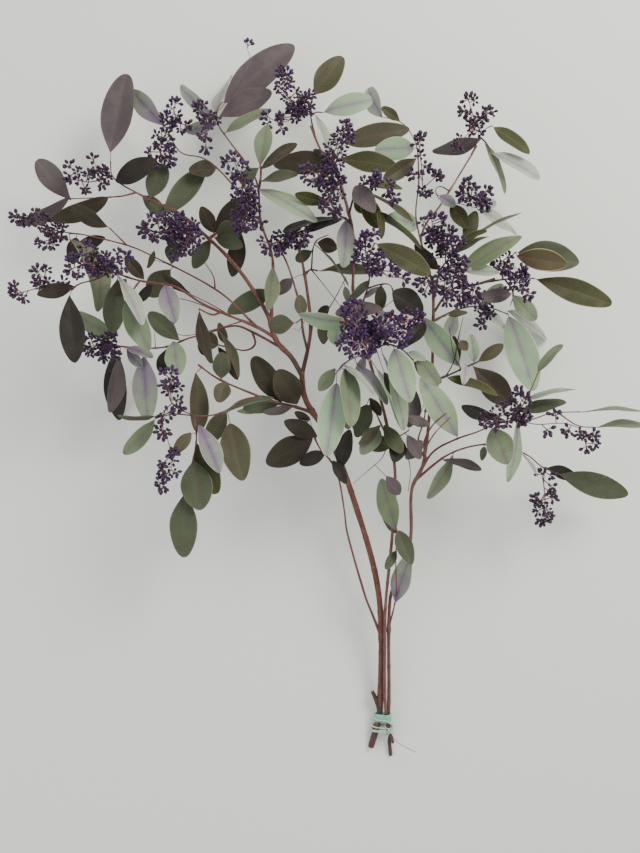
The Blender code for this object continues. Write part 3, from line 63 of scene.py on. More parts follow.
# Woody stems: radius at the start, radius at the end, points (across, along, height).
stems = {
    "stem_left": [
        (0.45, 0.36, [(-1.7, 0.7, -12.0), (-0.95, 3.3, -11.5), (-0.5, 6.2, -10.9), (-0.45, 12, -9.2),
                      (-0.5, 18, -7.4), (-0.7, 20.5, -6.7), (-1.5, 23.5, -5.8), (-2.2, 26, -5.0),
                      (-3, 29, -4.1), (-3.7, 31.5, -3.4), (-4.3, 33.8, -2.7), (-5, 35.3, -2.3),
                      (-6, 38, -1.6), (-7.2, 40.8, -0.9), (-8.9, 43.3, -0.2), (-9.8, 44.8, 0.2),
                      (-10.4, 46.5, 0.5), (-10.6, 49, 0.8)]),
        (0.33, 0.17, [(-10.6, 48.6, 0.8), (-12, 51, 1.0), (-13.5, 52.5, 1.1), (-14.3, 54, 1.0),
                      (-14.8, 56, 0.8), (-16.3, 58.6, 0.5), (-17.6, 60.7, 0.2), (-20, 63.7, -0.5),
                      (-23, 66.6, -1.2), (-26, 69.2, -2.0), (-28.4, 70.6, -2.5)]),
        (0.28, 0.15, [(-10.6, 48.6, 0.8), (-9.9, 51.5, 0.4), (-9.5, 54, 0), (-9.6, 57, -0.6),
                      (-10.1, 60.3, -1.2), (-10.5, 63, -1.8), (-11.2, 65.5, -2.3)]),
        (0.17, 0.11, [(-9.9, 51.8, 0.4), (-10.5, 54.5, 0.6), (-10.7, 57, 0.3), (-11.5, 60, 0),
                      (-12.3, 62.5, -0.3), (-13.2, 64.5, -0.6)]),
    ],
    "stem_middle": [
        (0.22, 0.19, [(1.15, 1.2, -11.3), (0.6, 3.2, -10.9), (0.2, 5.4, -10.35), (0.12, 8, -9.65),
                      (0.1, 14, -7.85), (0.2, 19, -6.3), (0.7, 23, -5.2), (0.95, 26, -4.3),
                      (1.1, 28.5, -3.6), (1.25, 33, -2.4), (1.4, 36.5, -1.7), (0.9, 39, -1.2),
                      (0.2, 43, -0.6), (-1, 47.5, 0.1), (-2.2, 52, 0.6), (-3.4, 56, 0.9),
                      (-4, 59, 1.0), (-4.1, 62, 1.0), (-3.9, 66, 0.9), (-4.4, 69, 0.7),
                      (-5.2, 72, 0.3), (-6.4, 75.2, -0.3)]),
        (0.17, 0.12, [(-6.4, 75, -0.3), (-8, 77.3, -1.0), (-8.8, 78.9, -1.6), (-9.5, 80.8, -2.2)]),
    ],
    "stem_right": [
        (0.27, 0.18, [(0.85, -0.4, -12.2), (0.5, 3.2, -11.5), (0.62, 6.5, -10.85), (0.8, 9, -10.1),
                      (0.72, 12, -9.2), (0.55, 16.3, -7.9), (0.75, 19.5, -6.95), (1.2, 21, -6.5),
                      (1.7, 22.5, -6.1), (2.5, 23.7, -5.7), (3.1, 25.3, -5.2), (3.5, 28.5, -4.2),
                      (3.4, 32, -3.2), (3.6, 34, -2.6), (4.4, 35.5, -2.2), (5, 37, -1.8),
                      (5.4, 40, -1.0), (5.9, 44, 0), (6.1, 48, 0.6), (6.3, 52, 0.9),
                      (6.5, 56, 1.1), (6.5, 58.5, 1.2), (6.4, 60.4, 1.3)]),
        (0.17, 0.13, [(6.5, 56.8, 1.1), (8.2, 59.3, 0.9), (9.5, 60, 0.7), (11.5, 60.2, 0.4),
                      (14.3, 61.1, 0)]),
        (0.16, 0.10, [(6.4, 60, 1.3), (5.6, 63, 0.9), (4.8, 66, 0.5), (5.5, 68.3, 0.1),
                      (7.1, 70.3, -0.3), (8, 71.9, -0.6), (10.3, 75.3, -1.3), (12, 78.2, -2.0)]),
        (0.11, 0.08, [(4.8, 65.6, 0.5), (4.1, 69.3, 0.8), (4.3, 71.4, 0.9), (4.5, 73.6, 1.0),
                      (4.4, 75.6, 1.1)]),
    ],
}

# Leafy sprays: the node they grow from, their height, twigs, and leaves given as
# base, tip, seen width, rise of the tip and tone (and a sideways bow when curved).
sprays = {
    "spray_foot": ("stem_right", -3.2, 0.1, [
        [(0.5, 17.1), (1.4, 19.2), (1.6, 21), (1.5, 25), (1.7, 28.4)]], [
        (1.5, 28.6, -0.3, 35.3, 2.6, 0.8, 3), (1.7, 28.2, -0.6, 32.6, 1.2, -1.2, 6),
        (1.8, 28.6, 3.6, 24.2, 2.2, 2.6, 4), (1.45, 19.3, 3.4, 25.5, 2.3, 2.2, 2),
        (1.6, 26, 0.2, 23.6, 1.2, 1.6, 4)]),
    "twig_left": ("stem_left", 0.2, 0.17, [
        [(-0.5, 16.4), (-1.8, 18.5), (-2.4, 20), (-2.9, 22), (-3.6, 24), (-4.2, 26), (-4.8, 28.5),
        (-5.1, 31), (-5.4, 33), (-5.9, 35.5), (-6.9, 37.6), (-8.3, 39.2), (-9.3, 41.4)]], [
        (-9.2, 40.5, -15.2, 37.2, 3.6, 1.5, 7), (-8.6, 40.7, -12.9, 42.7, 2.2, 1.0, 7),
        (-7.5, 38.7, -10.9, 37.2, 1.8, 2.0, 8), (-6.6, 37.6, -4.9, 34.6, 1.4, 1.5, 8),
        (-9.5, 42.9, -11.5, 43.9, 1.0, 2.2, 7), (-5.7, 36.4, -4.4, 41.6, 2.0, 1.0, 8)]),
    "spray_shadow": ("stem_middle", 1.6, 0.12, [
        [(0.7, 40.3), (-0.6, 42.8), (-1.9, 45.6)],
        [(0.2, 41.2), (1.8, 40.7), (3.2, 41.5)]], [
        (0.0, 42.6, -3, 38.4, 2.5, 2.0, 3), (2.2, 40.4, 1.2, 37.4, 2.2, 1.6, 8),
        (-0.4, 42.2, -3.3, 39.8, 1.3, 3.2, 5), (-1.6, 45.3, -3.6, 40.6, 2.2, -0.6, 4),
        (-1.8, 45.7, -0.4, 43.4, 1.2, 1.4, 7), (3.1, 41.7, 3.5, 47.1, 2.8, -0.8, 6),
        (3.0, 40.9, 4.7, 37.8, 1.6, 2.4, 6)]),
    "spray_front": ("stem_middle", 8.5, 0.14, [
        [(-2.0, 51.4), (-3.4, 50.9), (-5.2, 50.1), (-6.2, 48.8)],
        [(-3.3, 50.9), (-1.6, 51.9), (0.6, 52.6), (2.4, 51.9), (3.7, 50.6)]], [
        (-6.1, 47.6, -7.4, 38.2, 3.6, 1.5, 1), (-4.8, 48.9, -4.6, 41.6, 2.3, 0.2, 3),
        (-3.6, 50.2, 0.4, 44.8, 1.6, 1.8, 2), (-6.3, 49.5, -8.4, 46.6, 1.8, -1.6, 3),
        (-2.4, 50.9, -3.8, 48.5, 1.2, 2.2, 2), (-0.2, 51.4, 2.6, 41.5, 2.0, -1.6, 1),
        (1.2, 52.5, 3.4, 45.1, 3.4, 0.8, 1), (3.2, 51.6, 5.4, 50.6, 1.1, 1.4, 1),
        (3.9, 50.3, 7.4, 47.6, 2.0, 0.6, 3), (2.6, 52.1, 5.2, 55.4, 2.0, -3.2, 8)]),
    "spray_low_left": ("stem_left", 1.4, 0.18, [
        [(-9.8, 44.9), (-12, 44.7), (-14, 45.1), (-16.9, 46.2), (-19, 47.2), (-21.5, 48.2), (-24, 50)]], [
        (-13.4, 45.0, -18.2, 44.4, 1.5, 2.2, 4), (-24.3, 48.9, -24, 41.2, 2.3, -1.8, 5),
        (-13.2, 45.2, -16.9, 51, 3.0, -1.6, 7), (-11.2, 44.9, -13.8, 49.3, 3.6, 1.4, 7),
        (-11, 44.5, -15.6, 43.9, 1.1, 1.8, 6), (-21.0, 48.2, -20.9, 51.6, 2.3, 1.2, 4),
        (-20.4, 47.7, -21.4, 45.1, 2.2, 1.6, 5)]),
    "spray_hang_left": ("spray_low_left", 4.2, 0.12, [
        [(-16.9, 46.1), (-18.6, 45.3), (-20.2, 44.1), (-22.5, 43.4), (-24.5, 43.4), (-27.1, 43.6),
        (-29.4, 43.1)],
        [(-24.6, 43.4), (-24.2, 40.5), (-24.6, 38), (-25.3, 35.6), (-25.8, 33.6)]], [
        (-19.9, 42.4, -18.2, 35, 3.8, 1.4, 5), (-20.4, 44, -22.9, 39.7, 2.4, -1.6, 5),
        (-23.9, 42.2, -21.2, 36, 2.4, 2.0, 2), (-24.9, 41.2, -27.2, 38.4, 1.6, 1.2, 5),
        (-29.5, 42.9, -33.6, 38.4, 1.9, -0.6, 3), (-29.6, 43.3, -34.4, 43.4, 0.7, 1.4, 4),
        (-21, 43.6, -14.2, 45.6, 0.7, 3.4, 4), (-24.4, 37.9, -23.7, 31.2, 4.2, 1.0, 4),
        (-24.3, 39.9, -21.6, 33.3, 3.0, -1.8, 9), (-25.8, 33.2, -25.8, 25.1, 3.6, -1.0, 4)]),
    "spray_left_low": ("stem_left", -3.6, 0.15, [
        [(-14.2, 53.2), (-17, 54.2), (-19.3, 55), (-21.5, 54.5), (-23.5, 53.8), (-25.2, 53.4),
        (-28, 52.3), (-31, 52.1), (-33, 52.3), (-34.5, 52.4)],
        [(-17.2, 54.2), (-16.6, 52.6), (-18, 51.8), (-19.7, 52.2), (-21.6, 52.6), (-22.6, 53.6)]], [
        (-21.3, 52.9, -18.9, 48, 1.4, 0.6, 7), (-22.8, 53.8, -23.3, 51.2, 1.9, 1.0, 8),
        (-20.2, 52.4, -21.3, 55.4, 1.2, 1.0, 5), (-34.9, 51.4, -34.2, 42.8, 2.8, -8.8, 8),
        (-34.2, 51, -35.4, 43.8, 1.6, 1.2, 6), (-31, 51.2, -30.5, 42.8, 3.3, 0.8, 2),
        (-33.2, 52.2, -29.8, 50.9, 1.3, 2.4, 2), (-27.2, 53, -26.5, 48.6, 2.8, 2.4, 1),
        (-26.4, 53.1, -30.4, 56.7, 2.4, 1.6, 4), (-28, 52, -28.9, 49, 1.6, -1.6, 7),
        (-34.6, 53.4, -40, 56.7, 2.3, 1.2, 3)]),
    "spray_left_mid": ("stem_left", 6.2, 0.17, [
        [(-14.6, 54.6), (-17, 55.2), (-19, 55.9), (-21, 56.7), (-23.5, 57.9), (-25.5, 59.2), (-27, 60.1),
        (-28.5, 60.5), (-31.5, 60.8), (-33.2, 61.5), (-35.2, 62)],
        [(-35.0, 61.9), (-37.4, 60.9), (-39.4, 60.4), (-40.3, 59.6)],
        [(-31.6, 60.8), (-32.4, 59.6), (-33.2, 58.6)],
        [(-21.2, 56.8), (-22.2, 56.4), (-23.9, 57.2)]], [
        (-34.4, 61, -35, 54, 2.9, -2.0, 4), (-34.6, 61.8, -31.3, 55.1, 1.2, 2.4, 0),
        (-33.4, 58.3, -30.3, 51.8, 3.0, 1.0, 3), (-28.3, 60.2, -26.9, 55.4, 2.7, 2.0, 2),
        (-25, 59.2, -28.6, 61.9, 1.0, 1.4, 7), (-30, 60.4, -31.9, 57.9, 1.1, -1.2, 8),
        (-31, 61, -33.4, 64, 1.7, 1.2, 7), (-40.6, 58.9, -39.9, 50.2, 3.1, 0.2, 8),
        (-40.1, 60.1, -44.8, 59, 1.6, 1.4, 7), (-24, 57.1, -22.3, 50.1, 1.3, 0.8, 7, 0.09)]),
    "spray_left_high": ("spray_left_mid", 2.4, 0.13, [
        [(-18.2, 55.7), (-20, 57.9), (-21.3, 59.4), (-22.5, 60.2), (-25, 61.5), (-27.2, 62.6),
        (-30.5, 64.3), (-33.2, 65.4), (-37, 66.3), (-39, 66.8), (-40.6, 66.9)],
        [(-33.3, 65.4), (-34.4, 66.6), (-35.4, 67.6)]], [
        (-27.2, 62.8, -30.4, 58.8, 3.0, -1.4, 4), (-27.4, 63, -26.9, 65.9, 2.2, -1.0, 4),
        (-40.6, 66.2, -36.9, 56.8, 2.7, 1.8, 3, -0.17), (-39.7, 66.4, -40.2, 62.9, 2.0, -1.2, 7),
        (-35.6, 67.6, -40.4, 70.4, 1.9, -0.6, 7)]),
    "spray_left_top": ("stem_left", -3.4, 0.13, [
        [(-28.5, 70.7), (-30.5, 71.4), (-32, 72.2), (-33.5, 73.2), (-35, 74.2), (-35.3, 76.2)],
        [(-31.9, 72.1), (-34, 71.7), (-36.8, 71.5), (-40.2, 71.4)]], [
        (-35.3, 77.4, -33.2, 87.5, 4.1, -1.4, 6), (-34.6, 73.6, -29.3, 76.4, 2.9, 2.0, 8),
        (-35.6, 71.5, -43.1, 68.6, 1.7, 1.6, 7), (-40.6, 71.6, -47.5, 67.9, 0.7, 0.6, 6),
        (-40.4, 71.2, -44.8, 76.4, 2.9, -1.8, 6), (-31.2, 71.8, -28.1, 69.2, 1.8, -1.8, 4),
        (-30.2, 71.4, -28.3, 75.9, 2.8, -1.6, 4)]),
    "spray_crown_left": ("limb_mid", -5.4, 0.13, [
        [(-16.2, 70.6), (-18, 71.5), (-18.8, 72.5), (-20, 73.9), (-21.4, 75.2), (-23.5, 76.7), (-25, 77),
        (-26, 77.2), (-27, 78.3), (-27.7, 79.8), (-28.1, 80.6)]], [
        (-21.7, 75.3, -25.2, 75, 2.2, 2.0, 7), (-22.6, 75.9, -28.2, 69.6, 2.9, 1.0, 4),
        (-28.3, 80.5, -32.7, 85.4, 2.3, -0.6, 2)]),
    "spray_top_left": ("limb_mid", -5.6, 0.13, [
        [(-18.7, 77.3), (-20.3, 79.3), (-21.5, 81.2), (-21.6, 82.8), (-20.9, 83.8)]], [
        (-20.6, 83.8, -11.6, 91.2, 4.3, -1.0, 6), (-21.2, 82, -14.5, 85.2, 3.1, 1.6, 6),
        (-20.7, 79.9, -14.5, 82.8, 2.0, 0.6, 3), (-21.6, 82.6, -19.6, 87.2, 1.6, -6.6, 0),
        (-21.7, 81, -25.6, 80.1, 1.5, -1.2, 2), (-21.8, 82, -26.3, 85.9, 1.4, -2.4, 0)]),
    "limb_mid": ("stem_left", 1.6, 0.19, [
        [(-14.8, 56.4), (-14.5, 58.5), (-14.3, 61), (-14.4, 63.8), (-15.2, 66), (-15.9, 68.5),
        (-16.2, 71), (-16.4, 73.5), (-17.4, 75.4), (-18.3, 76.7)],
        [(-16.3, 72.2), (-15.9, 74.2), (-15.9, 75.6)]], [
        (-14.5, 59.4, -20.2, 56.7, 2.6, -2.0, 4), (-14.3, 62.6, -15.1, 57, 1.7, 2.4, 3),
        (-16.0, 75.6, -15.1, 80.9, 2.3, -1.6, 3), (-15.9, 75.2, -11.2, 78.5, 1.9, 1.6, 7),
        (-15.9, 73.6, -11.1, 74.5, 1.7, 2.0, 4), (-16.1, 72.6, -8.7, 68.4, 2.5, 2.6, 1)]),
    "spray_limb_left": ("stem_left", -3.6, 0.13, [
        [(-22.6, 66.3), (-21.2, 67.2), (-19.6, 67.6), (-18.2, 67.3)]], [
        (-22.4, 66.6, -18.2, 65.2, 1.9, 1.0, 4), (-21.8, 67.1, -17.3, 71.6, 2.9, -0.8, 7),
        (-22.1, 66.4, -24.6, 62.4, 2.0, -1.2, 4), (-18.4, 67, -19.6, 61.3, 2.3, -0.6, 7),
        (-21.9, 67, -23.6, 70.4, 1.9, -1.0, 7)]),
    "spray_centre_left": ("stem_left", -3.4, 0.13, [
        [(-10.3, 61.9), (-9.4, 62.3), (-8.6, 62.1)],
        [(-9.3, 62.3), (-9.1, 64.4), (-8.9, 65.8), (-7.2, 66.7)]], [
        (-8.5, 62, -0.9, 61.8, 1.8, 0.6, 5), (-9, 65.6, -4.6, 60.1, 0.4, 1.8, 9),
        (-8.9, 65.6, -6, 65, 1.9, -1.2, 7), (-9.2, 64.8, -11.4, 63.4, 1.5, -1.2, 4)]),
    "spray_cross": ("stem_left", 7.6, 0.13, [
        [(-9.5, 54.8), (-8.4, 55.9), (-6.4, 56.1), (-4.4, 55.7), (-3, 55.3)],
        [(-8.5, 55.8), (-9.8, 56.4), (-11.3, 55.4)]], [
        (-11.2, 55.3, -14.8, 55, 2.5, -1.2, 4), (-10.6, 56, -10.9, 59, 1.6, -1.0, 5),
        (-2.9, 55.2, -11, 56.5, 1.6, 1.6, 1), (-5.9, 56, -6.2, 52.5, 2.4, 0.8, 1),
        (-7.9, 56, -7.8, 52.6, 1.6, 1.2, 5), (-8.6, 55.9, -7.2, 57.6, 1.2, -1.6, 8)]),
    "spray_top": ("stem_middle", -5.4, 0.12, [
        [(-9.5, 80.9), (-9.5, 82.6), (-9.2, 84.6)],
        [(-9.5, 82), (-8.8, 82.6), (-8, 82.5)]], [
        (-9.1, 84.7, -5.3, 89.7, 3.2, 0.6, 5), (-8, 82.6, -1.5, 84.2, 2.9, -0.4, 1),
        (-8.8, 82.2, -6.9, 76, 1.4, 2.4, 0)]),
    "spray_top_mid": ("stem_middle", -3.2, 0.11, [
        [(-6.3, 74.9), (-6.1, 76.4), (-5.4, 78.3)]], [
        (-5, 78.7, 3.3, 80.4, 3.0, 0.2, 5), (-5.9, 76.5, 1.7, 75.4, 2.9, 2.6, 9),
        (-6.5, 76, -14.3, 75.8, 3.0, -1.0, 7)]),
    "spray_top_right": ("stem_right", -3.4, 0.08, [
        [(4.4, 75.8), (4.3, 77.6), (3.6, 79.6), (2.3, 81.2), (0, 81.9)]], [
        (4.3, 77.9, -1.2, 77.7, 3.0, -1.0, 1), (4.2, 76.6, -0.1, 73.8, 2.0, 1.2, 5),
        (2.2, 81.4, -0.3, 83.2, 1.3, 0.6, 9), (-0.2, 81.9, -2.1, 85.6, 1.8, -5.0, 0)]),
    "spray_centre_up": ("stem_middle", 5.2, 0.12, [
        [(-4.6, 70), (-3.9, 71.6), (-3.2, 73), (-1.4, 73.3)],
        [(-3.9, 71.4), (-2.6, 70.4), (-0.8, 69.7), (0.4, 69.4)]], [
        (-3.6, 73, 3.7, 68.4, 1.5, 1.6, 9), (-3.0, 72.4, -0.7, 67.6, 2.4, -1.2, 9),
        (-0.6, 69.9, -0.4, 66.2, 1.1, 1.2, 9), (-3.9, 70.9, -2.0, 69.8, 1.7, 1.4, 9),
        (-2.2, 70.1, 4.9, 64.8, 1.6, -0.8, 9), (0.3, 69.2, 4.3, 67.8, 2.6, -3.0, 1),
        (-1.4, 73.1, 2.4, 72.7, 1.3, -1.8, 9)]),
    "spray_centre_hang": ("stem_middle", 3.2, 0.11, [
        [(-4.3, 68.4), (-5.0, 68.9), (-5.8, 69.2), (-6.8, 70.8)]], [
        (-5.3, 68.9, -13, 67.2, 1.5, 1.2, 8), (-4.9, 68.7, -5.3, 62.5, 2.5, 3.0, 2),
        (-6.8, 71, -11.5, 72, 1.4, 1.0, 9)]),
    "spray_centre": ("stem_middle", 8.2, 0.12, [
        [(-3.6, 57), (-2.6, 58.4), (-1.9, 61), (-1.9, 64), (-1.2, 65.7)],
        [(-2.2, 59.8), (-0.6, 60.3), (0.9, 60.2), (1.3, 58.4)]], [
        (-1, 65.8, 6, 61.6, 3.1, 0.8, 9), (-2.6, 58.6, -0.4, 59.9, 0.9, 2.4, 2),
        (1.1, 59.4, 5, 56.7, 3.2, -2.0, 8), (-0.4, 60.2, -0.5, 56.9, 1.5, -2.2, 4),
        (-2.9, 58, 0.5, 55.8, 1.4, -1.8, 2), (-2.1, 60.8, -4.9, 58, 1.0, -1.6, 3)]),
    "spray_right_up": ("stem_right", 3.8, 0.13, [
        [(6.4, 60.5), (7.2, 62), (8.3, 63.6), (9.4, 64.8), (10.2, 66)],
        [(7.3, 62.2), (8.8, 62.2), (10.2, 62)]], [
        (9.6, 65, 17.8, 69.6, 0.9, 1.2, 5), (10.2, 65.8, 11.9, 69.8, 1.9, -1.2, 9),
        (10.2, 66, 13.3, 67.2, 1.0, 1.2, 9), (9.4, 64.4, 13.5, 66.5, 1.0, -2.4, 9),
        (10.3, 62.2, 17.7, 66.6, 2.5, -2.0, 3), (10.2, 61.8, 14.9, 61.9, 1.6, -1.2, 1),
        (7.1, 62.2, 4, 65.6, 1.4, 1.0, 7)]),
    "spray_right_fork": ("stem_right", 2.6, 0.08, [
        [(8.3, 72.3), (7.2, 73.0), (6.6, 72.4), (7.1, 71.4)],
        [(7.1, 71.6), (7.9, 71.0), (9.5, 70.8), (12, 70.2)]], [
        (7.2, 71.8, 9.2, 70.4, 1.5, 1.0, 2), (8.2, 70.9, 10.8, 67.5, 2.0, 0.8, 9),
        (12.1, 70, 17.1, 66.8, 1.9, -3.0, 0), (11.8, 70.4, 14.5, 70.9, 1.7, -1.6, 0)]),
    "spray_right": ("stem_right", -1.2, 0.12, [
        [(14.5, 61.1), (15.5, 61), (17.5, 61.2), (19.4, 61.1)],
        [(15.0, 61.1), (15.3, 62.3), (16, 63.5), (17, 64.5)],
        [(15.5, 61), (16.5, 59.8), (16.7, 59.2), (16.3, 57.6)]], [
        (17.1, 64.0, 23.5, 62.9, 2.9, 2.0, 10), (17, 64.6, 25.2, 63.2, 3.9, -1.0, 4),
        (19.5, 61.1, 29.4, 57.8, 3.1, 0.8, 9), (16.5, 59, 19.6, 55.7, 2.3, 1.0, 3),
        (16.4, 59.1, 12.2, 58.6, 1.8, 1.2, 6)]),
    "spray_crown_right": ("stem_right", -3.4, 0.1, [
        [(12.1, 78.4), (12.5, 79.4), (12.8, 80.2), (13.9, 80.8)],
        [(12.5, 79.3), (13.4, 78.4), (13.7, 77.4)]], [
        (14, 80.8, 18.8, 77.2, 2.2, 0.8, 9), (13.8, 77.3, 20.1, 74, 2.4, -1.2, 0),
        (12.9, 78.9, 15.6, 72.0, 1.7, -1.2, 3), (12.5, 79.1, 6.2, 77.5, 1.4, -1.8, 6)]),
    "spray_right_back": ("stem_right", -6.0, 0.13, [
        [(6.5, 56.1), (9.5, 57.1), (13, 57.5), (16, 56.5)]], [
        (16.1, 56.3, 19.3, 46.6, 4.1, 0.8, 1), (16, 56.9, 21, 53.2, 1.9, -6.2, 0),
        (9.2, 57, 8.2, 53.2, 1.8, -2.0, 0), (12.6, 57.4, 15.3, 60.4, 1.6, -1.2, 3)]),
    "spray_right_mid": ("stem_right", 0.4, 0.13, [
        [(6.1, 48.2), (8, 48.5), (9.6, 49.4), (10.9, 50), (12.2, 50.4)]], [
        (11.2, 50, 16.4, 44.8, 3.4, -1.0, 7), (12.2, 50.4, 15.4, 52.6, 1.6, 1.4, 5),
        (11.6, 50.4, 11.2, 53.9, 1.7, -1.4, 1), (8.2, 48.3, 14.7, 46, 1.6, 2.0, 9),
        (9.8, 49.7, 5, 56, 2.9, 3.0, 1), (10.6, 50, 10.2, 47.4, 1.3, 1.0, 0),
        (9.4, 49.5, 9, 53.7, 1.2, 1.0, 7)]),
    "spray_right_low": ("stem_right", 3.6, 0.14, [
        [(4.8, 37.3), (6.3, 38.7), (7.8, 39.4), (9.4, 40.4), (12.3, 41.4), (14.9, 42.6), (16.3, 42.7),
        (17.4, 43.4)],
        [(16.2, 42.6), (19, 42.9), (21.5, 43.7), (23, 43.6), (25.3, 43.9)],
        [(22.4, 43.6), (25, 42.1), (27.2, 41.9)],
        [(17.1, 43.2), (18.6, 46), (19.9, 49)]], [
        (17.8, 43.8, 23.5, 45.2, 1.6, -1.0, 4), (18.4, 45.6, 24.9, 46.8, 0.7, 1.2, 1),
        (19.9, 49, 23, 52.6, 1.0, -1.6, 3), (15.6, 42.8, 10, 44.7, 1.3, 2.0, 8),
        (14, 42, 15.9, 37.1, 3.5, 0.8, 3), (17.2, 43.1, 16, 34.8, 2.0, -2.0, 1),
        (9.5, 40.7, 4.7, 48.3, 3.4, 1.6, 1), (25.4, 43.9, 34.6, 43.7, 0.4, 0.4, 3),
        (27.4, 41.9, 35.6, 42, 0.9, -0.6, 3)]),
    "spray_right_hang": ("stem_right", -4.0, 0.14, [
        [(5.0, 36.3), (7.5, 37.9), (10, 39.1), (13, 39.7), (15.5, 39.5), (17.7, 38.7), (19, 38),
        (20.2, 36.9), (22.4, 35.9)]], [
        (17.9, 38.4, 19.8, 35.5, 0.7, 2.0, 0), (13.1, 39.5, 12.6, 37.6, 0.9, 1.0, 4),
        (21, 36.6, 25, 35.3, 1.7, 1.6, 8), (22.6, 36, 31.5, 33.2, 3.1, -0.8, 4),
        (7.6, 37.7, 12.6, 36.4, 1.2, 1.8, 6), (8.9, 38.3, 5.6, 32.7, 2.0, 0.6, 3)]),
}

